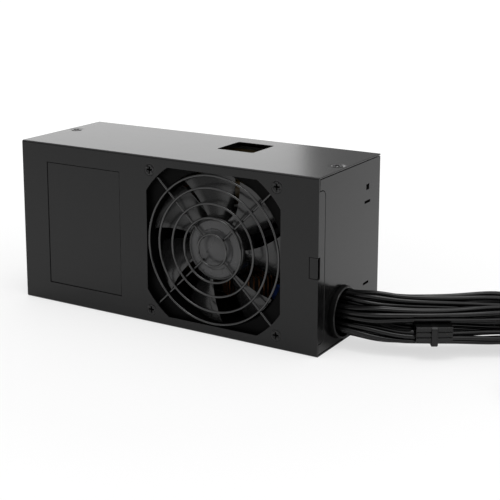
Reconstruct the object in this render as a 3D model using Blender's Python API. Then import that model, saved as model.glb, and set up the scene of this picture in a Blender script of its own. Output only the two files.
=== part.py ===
"""Power supply unit of the slim TFX kind: a sheet-metal case with a fan in its wide face, its board
and parts, the mains inlet and switch on one end, and the cable loom on the other.

Units are metres. The origin is at the bottom centre of the case as it stands on its long side.
+X points to the cable end, -Y is the fan side, +Z is up.
"""

import math

import bmesh
import bpy
from mathutils import Vector

for old in list(bpy.data.objects):
    bpy.data.objects.remove(old)

MM = 0.001

# ---------------------------------------------------------------- driving dimensions
LENGTH = 175 * MM
DEPTH = 65 * MM
HEIGHT = 85 * MM
SHEET = 0.8 * MM  # steel sheet of both shells
GAP = 0.3 * MM  # clearance kept between touching pieces
BEND = 1.0 * MM  # outer radius of a fold

X_END, Y_BACK, Y_FRONT = LENGTH / 2, DEPTH / 2, -DEPTH / 2

FAN_SIZE = 80 * MM
FAN_THICK = 15 * MM
FAN_PITCH = 71.5 * MM  # between the fan's screw holes
FAN_X, FAN_Z = 29.8 * MM, HEIGHT / 2
FAN_FRONT = Y_FRONT + 3.2 * MM  # front face of the fan's frame
OPENING_HALF = 37.9 * MM  # half the width of the opening in front of the fan
OPENING_R = 45.5 * MM  # radius that rounds the opening's corners
GRILLE_WIRE = 1.4 * MM
GRILLE_RINGS = (8 * MM, 16 * MM, 23 * MM, 30.7 * MM, 36.8 * MM)

FLANGE_WIDE = 6.3 * MM  # the cover's flange over each end face
FLANGE_Z = (6.1 * MM, 78.4 * MM)

BOARD_Y = 25 * MM  # component side of the board
BOARD_THICK = 1.6 * MM

BUSH_Y, BUSH_Z = -8.8 * MM, 15.6 * MM
BUSH_R, BUSH_BORE = 13.0 * MM, 11.9 * MM
BUSH_PROUD = 3 * MM
BUSH_NECK = BUSH_BORE + 0.6 * MM  # where it passes through the sheet

INLET_Y, INLET_Z = 9.5 * MM, 64 * MM
SWITCH_Y, SWITCH_Z = -16 * MM, 64 * MM


# ---------------------------------------------------------------- materials
def material(name, colour, roughness, metallic=0.0):
    made = bpy.data.materials.new(name)
    made.use_nodes = True
    shader = made.node_tree.nodes["Principled BSDF"]
    shader.inputs["Base Color"].default_value = (*colour, 1)
    shader.inputs["Roughness"].default_value = roughness
    shader.inputs["Metallic"].default_value = metallic
    return made


COAT = material("black_powder_coat", (0.035, 0.035, 0.037), 0.45)
BLACK_PLASTIC = material("black_plastic", (0.02, 0.02, 0.021), 0.35)
BLACK_STEEL = material("black_steel", (0.03, 0.03, 0.03), 0.35, 0.8)
PVC = material("black_pvc", (0.015, 0.015, 0.016), 0.3)
BOARD = material("board_laminate", (0.32, 0.22, 0.08), 0.5)
ALUMINIUM = material("aluminium", (0.75, 0.75, 0.76), 0.35, 1.0)
STEEL = material("steel", (0.55, 0.55, 0.56), 0.3, 1.0)
BRASS = material("brass", (0.7, 0.5, 0.2), 0.3, 1.0)
COPPER = material("copper", (0.75, 0.3, 0.12), 0.3, 1.0)
FERRITE = material("ferrite", (0.06, 0.055, 0.05), 0.6)
TAPE = material("yellow_tape", (0.75, 0.55, 0.08), 0.4)
SLEEVE = material("capacitor_sleeve", (0.03, 0.04, 0.06), 0.3)
BLUE = material("blue_epoxy", (0.03, 0.12, 0.45), 0.35)
FILM = material("film_sheet", (0.55, 0.55, 0.5), 0.4)


# ---------------------------------------------------------------- modelling helpers
def mm(*values):
    """Lengths given in millimetres, as a tuple in metres."""
    return tuple(value * MM for value in values)


def span(a, b):
    return min(a, b), max(a, b)


def add(name, bm, look, smooth_under=None):
    """Puts a mesh in the scene as a named object, with its faces turned outwards."""
    bmesh.ops.recalc_face_normals(bm, faces=bm.faces)
    mesh = bpy.data.meshes.new(name)
    bm.to_mesh(mesh)
    bm.free()
    mesh.materials.append(look)
    if smooth_under:
        mesh.shade_smooth()
        mesh.set_sharp_from_angle(angle=math.radians(smooth_under))
    made = bpy.data.objects.new(name, mesh)
    bpy.context.scene.collection.objects.link(made)
    return made


def box(name, low, high, look):
    bm = bmesh.new()
    bmesh.ops.create_cube(bm, size=1)
    for v in bm.verts:
        v.co = [a + (b - a) * (c + 0.5) for a, b, c in zip(low, high, v.co)]
    return add(name, bm, look)


def along(axis, a, b, c):
    """A point with its (a, b) across the axis and c along it. Across X is (Y, Z), across Y is (X, Z)."""
    if axis == "X":
        return (c, a, b)
    if axis == "Y":
        return (a, c, b)
    return (a, b, c)


def prism(name, outline, axis, low, high, look, smooth_under=None):
    """A closed outline pushed from low to high along an axis."""
    bm = bmesh.new()
    ring = [bm.verts.new(along(axis, a, b, low)) for a, b in outline]
    face = bm.faces.new(ring)
    pushed = bmesh.ops.extrude_face_region(bm, geom=[face])
    moved = [v for v in pushed["geom"] if isinstance(v, bmesh.types.BMVert)]
    bmesh.ops.translate(bm, vec=Vector(along(axis, 0, 0, high - low)), verts=moved)
    return add(name, bm, look, smooth_under)


def turned(name, profile, axis, centre, look, steps=32, smooth_under=40):
    """A profile of (radius, place along the axis) points turned about an axis through centre."""
    bm = bmesh.new()
    turns = [2 * math.pi * i / steps for i in range(steps)]
    rings = []
    for radius, place in profile:
        if radius == 0:
            rings.append([bm.verts.new(along(axis, *centre, place))] * steps)
            continue
        spots = [(centre[0] + radius * math.cos(t), centre[1] + radius * math.sin(t)) for t in turns]
        rings.append([bm.verts.new(along(axis, a, b, place)) for a, b in spots])
    closed = profile[0][0] != 0
    for k in range(len(rings) if closed else len(rings) - 1):
        first, second = rings[k], rings[(k + 1) % len(rings)]
        for i in range(steps):
            j = (i + 1) % steps
            corners = dict.fromkeys((first[i], first[j], second[j], second[i]))
            if len(corners) > 2:
                bm.faces.new(corners)
    return add(name, bm, look, smooth_under)


def disc(name, radius, low, high, axis, centre, look, steps=24):
    return turned(name, [(0, low), (radius, low), (radius, high), (0, high)], axis, centre, look, steps)


def pipe(name, inner, outer, low, high, axis, centre, look, steps=24):
    profile = [(inner, low), (outer, low), (outer, high), (inner, high)]
    return turned(name, profile, axis, centre, look, steps)


def rounded(a0, a1, b0, b1, radius, steps=4):
    """A rectangle's outline with round corners."""
    points = []
    for ca, cb, start in (
        (a1 - radius, b1 - radius, 0),
        (a0 + radius, b1 - radius, 90),
        (a0 + radius, b0 + radius, 180),
        (a1 - radius, b0 + radius, 270),
    ):
        for i in range(steps + 1):
            t = math.radians(start + 90 * i / steps)
            points.append((ca + radius * math.cos(t), cb + radius * math.sin(t)))
    return points


def regular(a, b, radius, sides, start=0.0):
    turn = [start + 2 * math.pi * i / sides for i in range(sides)]
    return [(a + radius * math.cos(t), b + radius * math.sin(t)) for t in turn]


def combine(target, tool, operation):
    """A Boolean on target. The tool stays as a hidden helper that goes where target goes."""
    tool.parent = target
    tool.hide_render = True
    tool.display_type = "WIRE"
    step = target.modifiers.new(tool.name, "BOOLEAN")
    step.operation = operation
    step.object = tool
    return target


def cut(target, *tools):
    for tool in tools:
        combine(target, tool, "DIFFERENCE")
    return target


def join(target, *tools):
    for tool in tools:
        combine(target, tool, "UNION")
    return target


# ---------------------------------------------------------------- cover: fan face, top, bottom, end flanges
CASE_SCREWS = (  # (x, y, which side is up)
    (82.2 * MM, -4.4 * MM, 1),
    (-82.2 * MM, 5.6 * MM, 1),
    (82.2 * MM, -4.4 * MM, -1),
    (-82.2 * MM, 5.6 * MM, -1),
)
HEAD_R, HEAD_UNDER_R, SHANK_R = 2.85 * MM, 1.9 * MM, 1.45 * MM
HOLE_R = SHANK_R + GAP  # hole that a screw's shank passes

LABEL_X, LABEL_Z, LABEL_DEEP = mm(-71.2, -24.5), mm(10.4, 75.1), 0.3 * MM
SLOT_X, SLOT_Y = mm(12.1, 33.1), mm(0.6, 21.9)
NOTCH_X, NOTCH_Z = mm(82.8, 89), mm(37.2, 47.9)
PAST = 1 * MM  # how far a cutter runs past the face that it cuts


def countersink(name, axis, centre, face, inward, deep):
    """Cutter for a screw's head in a sheet: it leaves the gap round the head and passes the sheet."""
    past = 0.5 * MM
    profile = [
        (0, face - inward * past),
        (HEAD_R + GAP + past, face - inward * past),
        (HEAD_R + GAP, face),
        (HEAD_UNDER_R + GAP, face + inward * deep),
        (HEAD_UNDER_R + GAP, face + inward * (deep + past)),
        (0, face + inward * (deep + past)),
    ]
    return turned(name, profile, axis, centre, COAT, steps=16)


def u_profile(half_span, front, back, thick):
    """A U of sheet seen along X, in (Y, Z), open at the back, with round folds at the front."""
    mid = HEIGHT / 2
    folds = 4
    outer, inner = [], []
    inside = BEND - thick if BEND > thick else 0.05 * MM
    for i in range(folds + 1):
        t = math.radians(90 + 90 * i / folds)
        outer.append((front + BEND + BEND * math.cos(t), mid + half_span - BEND + BEND * math.sin(t)))
        inner.append((front + BEND + inside * math.cos(t), mid + half_span - BEND + inside * math.sin(t)))
    outer = [(back, mid + half_span)] + outer
    inner = [(back, mid + half_span - thick)] + inner
    upper = outer
    lower = [(y, HEIGHT - z) for y, z in reversed(outer)]
    inside_lower = [(y, HEIGHT - z) for y, z in inner]
    return upper + lower + inside_lower + list(reversed(inner))


def fan_opening():
    """Outline of the opening in front of the fan: a square with corners rounded about the fan's axis."""
    corner = math.acos(OPENING_HALF / OPENING_R)
    outline = []
    for quarter in range(4):
        start, end = quarter * math.pi / 2 + corner, (quarter + 1) * math.pi / 2 - corner
        for i in range(7):
            t = start + (end - start) * i / 6
            outline.append((FAN_X + OPENING_R * math.cos(t), FAN_Z + OPENING_R * math.sin(t)))
    return outline


def make_cover():
    profile = u_profile(HEIGHT / 2, Y_FRONT, Y_BACK, SHEET)
    cover = prism("cover_shell", profile, "X", -X_END, X_END, COAT, 30)
    for side in (-1, 1):
        # A flange folds off the fan face over the end, with its outer face flush with the end plate.
        low, high = span(side * X_END, side * (X_END - SHEET))
        outline = rounded(Y_FRONT - 2 * MM, Y_FRONT + FLANGE_WIDE, *FLANGE_Z, 3 * MM)
        flange = prism(f"flange_tool_{side}", outline, "X", low, high, COAT)
        cut(flange, box(f"flange_trim_{side}", (-1, -1, -1), (1, Y_FRONT + SHEET / 2, 1), COAT))
        join(cover, flange)
    cut(cover, prism("opening_tool", fan_opening(), "Y", Y_FRONT - PAST, Y_FRONT + 2 * MM, COAT))
    # Shallow field for a rating label.
    low = (LABEL_X[0], Y_FRONT - PAST, LABEL_Z[0])
    high = (LABEL_X[1], Y_FRONT + LABEL_DEEP, LABEL_Z[1])
    cut(cover, box("label_field_tool", low, high, COAT))
    # Slot on top that hooks on a chassis tab.
    slot = rounded(*SLOT_X, *SLOT_Y, 1 * MM, 3)
    cut(cover, prism("slot_tool", slot, "Z", HEIGHT - 2 * MM, HEIGHT + PAST, COAT))
    # Notch at the fan face's edge, through which the base's tongue shows.
    low = (NOTCH_X[0], Y_FRONT - PAST, NOTCH_Z[0])
    high = (NOTCH_X[1], Y_FRONT + 1.9 * MM, NOTCH_Z[1])
    cut(cover, box("notch_tool", low, high, COAT))
    for i, centre in enumerate(fan_corners()):
        cut(cover, countersink(f"fan_sink_{i}", "Y", centre, Y_FRONT, 1, SHEET))
    for i, (x, y, up) in enumerate(CASE_SCREWS):
        face = HEIGHT if up > 0 else 0
        cut(cover, countersink(f"case_sink_{i}", "Z", (x, y), face, -up, SHEET))
    return cover


def fan_corners():
    half = FAN_PITCH / 2
    return [(FAN_X + a * half, FAN_Z + b * half) for a, b in ((-1, -1), (1, -1), (1, 1), (-1, 1))]


# ---------------------------------------------------------------- base: back and both ends
BASE_LOW, BASE_TOP = SHEET + GAP, HEIGHT - SHEET - GAP
PLATE_FRONT = Y_FRONT + SHEET + GAP  # where the end plates stop behind the fan face
POCKET = SHEET + GAP  # depth of the step that takes the cover's flange
TONGUE_Z = mm(32, 53)
CABLE_END_CUTS = (  # name, y, z, width, height in millimetres
    ("small_hole", 18.5, 71.0, 3.2, 2.7),
    ("lance_slot_1", 18.5, 63.6, 6.2, 1.2),
    ("lance_slot_2", 18.5, 22.3, 5.8, 1.2),
)
HEX_R, HEX_PITCH, HEX_ROWS = 3.0 * MM, 6.3 * MM, 6
VENT_Y, VENT_LOW = 2 * MM, 11 * MM


def end_plate(side):
    """One end of the base. It steps inwards behind the cover's flange."""
    low, high = span(side * X_END, side * (X_END - SHEET))
    back = Y_BACK - SHEET / 2
    plate = box(f"end_plate_{side}", (low, PLATE_FRONT, BASE_LOW), (high, back, BASE_TOP), COAT)
    edge = Y_FRONT + FLANGE_WIDE + GAP
    low, high = span(side * (X_END - SHEET / 2), side * (X_END - POCKET - SHEET))
    step_low = (low, PLATE_FRONT, FLANGE_Z[0] - 1.6 * MM)
    step_high = (high, edge + 1.4 * MM, FLANGE_Z[1] + 1.6 * MM)
    join(plate, box(f"step_back_{side}", step_low, step_high, COAT))
    low, high = span(side * (X_END - POCKET), side * (X_END + PAST))
    pocket = rounded(PLATE_FRONT - 5 * MM, edge, FLANGE_Z[0] - GAP, FLANGE_Z[1] + GAP, 3.3 * MM)
    cut(plate, prism(f"step_cut_{side}", pocket, "X", low, high, COAT))
    # Tongue under the fan face, which the notch shows.
    low, high = span(side * (X_END - POCKET - SHEET / 2), side * (X_END - 8 * MM))
    tongue_low, tongue_high = (low, PLATE_FRONT, TONGUE_Z[0]), (high, PLATE_FRONT + SHEET, TONGUE_Z[1])
    join(plate, box(f"tongue_{side}", tongue_low, tongue_high, COAT))
    # Tabs under the top and bottom take the case screws.
    low, high = span(side * (X_END - SHEET / 2), side * (X_END - 11 * MM))
    for k, (x, y, up) in enumerate(CASE_SCREWS):
        if (x > 0) != (side > 0):
            continue
        z0, z1 = (BASE_TOP - SHEET, BASE_TOP) if up > 0 else (BASE_LOW, BASE_LOW + SHEET)
        join(plate, box(f"tab_{k}", (low, y - 8 * MM, z0), (high, y + 8 * MM, z1), COAT))
        cut(plate, disc(f"tab_hole_{k}", HOLE_R, z0 - PAST, z1 + PAST, "Z", (x, y), COAT, 16))
    return plate


def make_base():
    base = box("base_shell", (-X_END, Y_BACK - SHEET, BASE_LOW), (X_END, Y_BACK, BASE_TOP), COAT)
    half, lip = X_END - SHEET / 2, Y_BACK - 7 * MM
    for k, z in enumerate((BASE_LOW, BASE_TOP - SHEET)):
        join(base, box(f"back_lip_{k}", (-half, lip, z), (half, Y_BACK - SHEET / 2, z + SHEET), COAT))
    for side in (-1, 1):
        join(base, end_plate(side))
    # Cable end: the bushing's hole, a small hole and two lance slots.
    through, centre = (X_END - 6 * MM, X_END + PAST), (BUSH_Y, BUSH_Z)
    cut(base, disc("bush_hole", BUSH_NECK + GAP, *through, "X", centre, COAT, 48))
    for name, y, z, wide, tall in CABLE_END_CUTS:
        low_corner = (X_END - 2 * MM, *mm(y - wide / 2, z - tall / 2))
        high_corner = (X_END + PAST, *mm(y + wide / 2, z + tall / 2))
        cut(base, box(name, low_corner, high_corner, COAT))
    # Mains end: cut-outs for the inlet and the switch, and the vent of hexagons.
    for name, y, z, wide, tall in (
        ("inlet_cut", INLET_Y, INLET_Z, 14.1 * MM, 10.3 * MM),
        ("switch_cut", SWITCH_Y, SWITCH_Z, 6.7 * MM, 9.7 * MM),
    ):
        outline = rounded(y - wide, y + wide, z - tall, z + tall, 1.5 * MM, 3)
        cut(base, prism(name, outline, "X", -X_END - PAST, -X_END + 3 * MM, COAT))
    for row in range(HEX_ROWS):
        count = 7 - row % 2
        z = VENT_LOW + row * HEX_PITCH * math.sin(math.pi / 3)
        for col in range(count):
            y = VENT_Y + (col - (count - 1) / 2) * HEX_PITCH
            hexagon = regular(y, z, HEX_R, 6, math.pi / 6)
            cut(base, prism(f"vent_{row}_{col}", hexagon, "X", -X_END - PAST, -X_END + 2 * MM, COAT))
    return base


def screw(name, axis, centre, face, inward, length):
    """Countersunk screw with its head flush with the face, and a cross recess."""
    profile = [
        (0, face),
        (HEAD_R, face),
        (HEAD_UNDER_R, face + inward * SHEET),
        (SHANK_R, face + inward * (SHEET + 0.3 * MM)),
        (SHANK_R, face + inward * (length - 0.6 * MM)),
        (SHANK_R * 0.6, face + inward * length),
        (0, face + inward * length),
    ]
    made = turned(name, profile, axis, centre, BLACK_STEEL, steps=12)
    arm, wide, deep = 1.5 * MM, 0.32 * MM, 0.9 * MM
    a, b = centre
    # One outline holds both arms of the cross.
    cross = [
        (arm, wide), (wide, wide), (wide, arm), (-wide, arm), (-wide, wide), (-arm, wide),
        (-arm, -wide), (-wide, -wide), (-wide, -arm), (wide, -arm), (wide, -wide), (arm, -wide),
    ]
    low, high = span(face - inward * PAST, face + inward * deep)
    return cut(made, prism(f"{name}_cross", [(a + u, b + v) for u, v in cross], axis, low, high, BLACK_STEEL))


make_cover()
make_base()
for i, (x, y, up) in enumerate(CASE_SCREWS):
    screw(f"case_screw_{i + 1}", "Z", (x, y), HEIGHT if up > 0 else 0, -up, 5 * MM)
for i, (x, z) in enumerate(fan_corners()):
    screw(f"fan_screw_{i + 1}", "Y", (x, z), Y_FRONT, 1, 9 * MM)


# ---------------------------------------------------------------- fan
FAN_BACK = FAN_FRONT + FAN_THICK
FAN_BORE = 38.2 * MM
HUB_FRONT = Y_FRONT + 3.3 * MM
HUB_R, HUB_DEEP = 16 * MM, 11 * MM
BLADES, BLADE_TIP = 7, 36.9 * MM
BLADE_FIRST = math.radians(152.5)
BLADE_SPAN = math.radians(39)
BLADE_SWEEP = math.radians(10)  # how far a blade's tip leads its root
FAN_AXIS = (FAN_X, FAN_Z)


def make_fan_frame():
    half, through = FAN_SIZE / 2, (FAN_FRONT - PAST, FAN_BACK + PAST)
    outline = rounded(FAN_X - half, FAN_X + half, FAN_Z - half, FAN_Z + half, 3.5 * MM, 3)
    frame = prism("fan_frame", outline, "Y", FAN_FRONT, FAN_BACK, BLACK_PLASTIC)
    cut(frame, disc("fan_bore", FAN_BORE, *through, "Y", FAN_AXIS, BLACK_PLASTIC, 48))
    for i, corner in enumerate(fan_corners()):
        cut(frame, disc(f"fan_hole_{i}", HOLE_R, *through, "Y", corner, BLACK_PLASTIC, 16))
    plate_y = FAN_BACK - 2 * MM
    join(frame, disc("motor_plate", 15.5 * MM, plate_y, FAN_BACK, "Y", FAN_AXIS, BLACK_PLASTIC, 32))
    for i in range(4):
        low, high = (12 * MM, plate_y, -1.6 * MM), (FAN_BORE + 1.5 * MM, FAN_BACK - 0.4 * MM, 1.6 * MM)
        strut = box(f"strut_{i}", low, high, BLACK_PLASTIC)
        strut.rotation_euler = (0, -math.radians(20 + 90 * i), 0)
        strut.location = (FAN_X, 0, FAN_Z)
        join(frame, strut)
    tube = (3.3 * MM, 4.6 * MM, FAN_FRONT + 4.4 * MM, plate_y + 1 * MM)
    join(frame, pipe("bearing_tube", *tube, "Y", FAN_AXIS, BLACK_PLASTIC))
    hole = (tube[0], plate_y - 3 * MM, FAN_BACK - 0.8 * MM)
    cut(frame, disc("tube_hole", *hole, "Y", FAN_AXIS, BLACK_PLASTIC))
    return frame


def blade(name, first):
    """One swept blade, from inside the hub's wall to the tip, leaning back along the fan's axis."""
    across, out = 4, 4
    thick = 1.3 * MM
    front, back = HUB_FRONT + 1.2 * MM, HUB_FRONT + HUB_DEEP - 0.6 * MM
    bm = bmesh.new()
    grids = []
    for face in (0, 1):
        grid = []
        for j in range(out + 1):
            share = j / out
            radius = HUB_R - 0.8 * MM + (BLADE_TIP - HUB_R + 0.8 * MM) * share
            span = BLADE_SPAN * (0.82 + 0.18 * share)
            middle = first + BLADE_SWEEP * (share - 1)
            row = []
            for i in range(across + 1):
                u = i / across
                t = middle + span * (0.5 - u)
                belly = 1.1 * MM * math.sin(math.pi * u)
                y = max(front + (back - front - thick) * u - belly + face * thick, front)
                row.append(bm.verts.new((FAN_X + radius * math.cos(t), y, FAN_Z + radius * math.sin(t))))
            grid.append(row)
        grids.append(grid)
    top, low = grids
    for j in range(out):
        for i in range(across):
            bm.faces.new((top[j][i], top[j][i + 1], top[j + 1][i + 1], top[j + 1][i]))
            bm.faces.new((low[j][i], low[j + 1][i], low[j + 1][i + 1], low[j][i + 1]))
    rim = [(0, i) for i in range(across)] + [(j, across) for j in range(out)]
    rim += [(out, i) for i in range(across, 0, -1)] + [(j, 0) for j in range(out, 0, -1)]
    for k, (j, i) in enumerate(rim):
        j2, i2 = rim[(k + 1) % len(rim)]
        bm.faces.new((top[j][i], low[j][i], low[j2][i2], top[j2][i2]))
    return add(name, bm, BLACK_PLASTIC)


def make_fan():
    make_fan_frame()
    hub_back = HUB_FRONT + HUB_DEEP
    wall = 1.2 * MM
    profile = [
        (0, HUB_FRONT),
        (HUB_R - 2 * MM, HUB_FRONT),
        (HUB_R - 0.6 * MM, HUB_FRONT + 0.6 * MM),
        (HUB_R, HUB_FRONT + 2 * MM),
        (HUB_R, hub_back),
        (HUB_R - wall, hub_back),
        (HUB_R - wall, HUB_FRONT + 1.6 * MM),
        (0, HUB_FRONT + 1.6 * MM),
    ]
    rotor = turned("fan_rotor", profile, "Y", FAN_AXIS, BLACK_PLASTIC, 35)
    for k in range(BLADES):
        join(rotor, blade(f"blade_{k}", BLADE_FIRST + 2 * math.pi * k / BLADES))
    inside = HUB_FRONT + 1.6 * MM + GAP
    magnet = (12.9 * MM, HUB_R - wall - GAP, inside, hub_back - 1.5 * MM)
    pipe("fan_magnet", *magnet, "Y", FAN_AXIS, FERRITE, 32)
    disc("fan_shaft", 1.5 * MM, inside, FAN_BACK - 1.6 * MM, "Y", FAN_AXIS, STEEL, 16)
    bearing = (1.75 * MM, 3.0 * MM, FAN_FRONT + 4.6 * MM, FAN_BACK - 2.4 * MM)
    pipe("fan_bearing", *bearing, "Y", FAN_AXIS, BRASS, 16)
    coils = (4.9 * MM, 12.3 * MM, FAN_FRONT + 4.4 * MM, FAN_BACK - 3.2 * MM)
    stator = pipe("fan_stator", *coils, "Y", FAN_AXIS, COPPER, 32)
    for k in range(4):
        slot = box(f"stator_slot_{k}", (7 * MM, -0.1, -1 * MM), (14 * MM, 0.1, 1 * MM), COPPER)
        slot.rotation_euler = (0, -math.radians(45 + 90 * k), 0)
        slot.location = (FAN_X, 0, FAN_Z)
        cut(stator, slot)


def make_grille():
    """Rings of wire in the opening, on four spokes that run under the sheet to the fan's screws."""
    wire = GRILLE_WIRE / 2
    ring_y, spoke_y = Y_FRONT + 0.75 * MM, Y_FRONT + 1.9 * MM

    def ring(name, radius, y, centre, steps):
        profile = [(radius + a, b) for a, b in regular(0, y, wire, 6)]
        return turned(name, profile, "Y", centre, BLACK_STEEL, steps)

    grille = ring("fan_grille", GRILLE_RINGS[0], ring_y, FAN_AXIS, 16)
    eye = FAN_PITCH / math.sqrt(2)  # from the fan's axis to a screw
    start, end = GRILLE_RINGS[0] - 0.6 * MM, eye - 2.6 * MM
    for k, t in enumerate(math.radians(a) for a in (45, 135, 225, 315)):
        spoke = prism(f"spoke_{k}", regular(0, 0, wire, 6), "X", start, end, BLACK_STEEL)
        spoke.rotation_euler = (0, -t, 0)
        spoke.location = (FAN_X, spoke_y, FAN_Z)
        join(grille, spoke)
        centre = (FAN_X + eye * math.cos(t), FAN_Z + eye * math.sin(t))
        join(grille, ring(f"eye_{k}", 2.9 * MM, spoke_y, centre, 10))
    for k, radius in enumerate(GRILLE_RINGS[1:]):
        join(grille, ring(f"grille_ring_{k}", radius, ring_y, FAN_AXIS, 20 + 4 * k))
    return grille


make_fan()
make_grille()

# ---------------------------------------------------------------- board and what it carries
FOOT = BOARD_Y - GAP  # where a part's foot ends above the board
BOARD_HOLES = [(x * MM, z * MM) for x in (-74, 74) for z in (9, 76)]


def make_board():
    board_back = BOARD_Y + BOARD_THICK
    board = box("main_board", (*mm(-78), BOARD_Y, *mm(4.5)), (*mm(78), board_back, *mm(80.5)), BOARD)
    sheet = box("insulation_sheet", mm(-79, 29.0, 3.5), mm(79, 29.5, 81.5), FILM)
    base = bpy.data.objects["base_shell"]
    post_r, post_end = 3 * MM, board_back + GAP
    shank = 1.3 * MM
    for i, centre in enumerate(BOARD_HOLES):
        cut(board, disc(f"board_hole_{i}", shank + GAP, *mm(24, 28), "Y", centre, BOARD, 12))
        cut(sheet, disc(f"sheet_hole_{i}", post_r + GAP, *mm(28, 30.5), "Y", centre, FILM, 16))
        join(base, disc(f"post_{i}", post_r, post_end, Y_BACK - SHEET / 2, "Y", centre, COAT, 16))
        tapped = (post_end - PAST, Y_BACK - 1.2 * MM)
        cut(base, disc(f"post_hole_{i}", shank + GAP, *tapped, "Y", centre, COAT, 12))
        profile = [
            (0, 22.6 * MM), (2 * MM, 22.8 * MM), (2.8 * MM, 23.6 * MM), (2.8 * MM, FOOT),
            (shank, FOOT), (shank, 30.6 * MM), (0, 30.6 * MM),
        ]
        turned(f"board_screw_{i + 1}", profile, "Y", centre, STEEL, 16)


def standing(name, x, z, wide, tall, top, look):
    """A block on the board: centre (x, z), sides wide and tall, reaching to y = top. Millimetres."""
    low = ((x - wide / 2) * MM, top * MM, (z - tall / 2) * MM)
    high = ((x + wide / 2) * MM, FOOT, (z + tall / 2) * MM)
    return box(name, low, high, look)


def can(name, x, z, radius, top, look):
    """An electrolytic capacitor standing on the board, with its crimped groove."""
    r, t, foot = radius * MM, top * MM, FOOT
    profile = [
        (0, t), (r - 0.8 * MM, t), (r, t + 0.8 * MM), (r, foot - 3.5 * MM), (r - 0.7 * MM, foot - 2.8 * MM),
        (r, foot - 2.1 * MM), (r, foot), (0, foot),
    ]
    return turned(name, profile, "Y", (x * MM, z * MM), look, 16)


def toroid(name, axis, centre, place, inner, outer, thick, look, turns=12):
    """A wound ring: the winding's turns bulge round the rim."""
    corner = 0.3 * min(thick, outer - inner)
    section = rounded(inner, outer, -thick / 2, thick / 2, corner, 1)
    ring = turned(name, [(r, place + h) for r, h in section], axis, centre, look, turns * 2)
    first, second = {"X": (1, 2), "Y": (0, 2), "Z": (0, 1)}[axis]
    for v in ring.data.vertices:
        spot = Vector(v.co)
        a, b = spot[first] - centre[0], spot[second] - centre[1]
        wave = 0.965 + 0.035 * math.cos(turns * math.atan2(b, a))
        spot[first], spot[second] = centre[0] + a * wave, centre[1] + b * wave
        v.co = spot
    return ring


def fins(name, look, low, high, count, along_x):
    """A heatsink: a plate along X or Z with short fins on one side."""
    sink = box(name, low, high, look)
    run, out = (0, 2) if along_x else (2, 0)
    for k in range(count):
        place = low[run] + (high[run] - low[run]) * (k + 0.5) / count
        fin_low, fin_high = list(low), list(high)
        fin_low[run], fin_high[run] = place - 0.6 * MM, place + 0.6 * MM
        fin_low[out], fin_high[out] = high[out] - 1 * MM, high[out] + 5 * MM
        fin_high[1] = high[1] - 8 * MM
        join(sink, box(f"{name}_fin_{k}", fin_low, fin_high, look))
    return sink


def make_electronics():
    fins("heatsink_primary", ALUMINIUM, mm(-60, -8, 66), (*mm(-14), FOOT, *mm(69)), 8, True)
    fins("heatsink_secondary", ALUMINIUM, mm(36, -8, 34), (*mm(39), FOOT, *mm(74)), 7, False)
    standing("power_transistor", -53, 63.4, 10, 4.6, 2, BLACK_PLASTIC)
    standing("bridge_rectifier", -50, 52, 20, 4, 4, BLACK_PLASTIC)
    core = standing("transformer_core", 12, 51, 34, 15, -6, FERRITE)
    cut(core, box("core_window", mm(-1, -2.3, 40), mm(25, 19.3, 62), FERRITE))
    winding = rounded(*mm(-0.7, 24.7, 37.5, 64.5, 5))
    prism("transformer_winding", winding, "Y", *mm(-2, 19), TAPE)
    standing("standby_transformer", 55, 47, 17, 15, 5, TAPE)
    can("bulk_capacitor", -30, 22, 12.5, -12, SLEEVE)
    can("output_capacitor_1", 51, 16, 5, -4, BLUE)
    can("output_capacitor_2", 51, 29, 5, -4, SLEEVE)
    toroid("pfc_choke", "Y", mm(-26, 50), *mm(16.5, 5, 12, 13), COPPER)
    toroid("output_choke", "Z", mm(26, 10), *mm(15.5, 6, 14.4, 12), COPPER)
    toroid("emi_choke", "Z", mm(-62, 12), *mm(26, 5, 12, 11), COPPER)
    standing("x_capacitor", -60, 11, 22, 9, 6, TAPE)
    disc("y_capacitor", *mm(5, 36, 39.5), "Z", mm(-47, 18), BLUE, 20)
    disc("fuse", *mm(2.6, -72, -52), "X", mm(21, 43), FILM, 16)


make_board()
make_electronics()

# ---------------------------------------------------------------- mains inlet and rocker switch
MAINS_X = -X_END  # outer face of the mains end
INLET_OUT, INLET_DEEP = 1.8 * MM, 21 * MM
PIN_SPREAD = 7 * MM
PIN_SIZE = mm(2, 4)


def around(y, z, wide, tall, radius, steps):
    """A rectangle's outline with round corners, from its centre and its half sizes."""
    return rounded(y - wide, y + wide, z - tall, z + tall, radius, steps)


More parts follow.
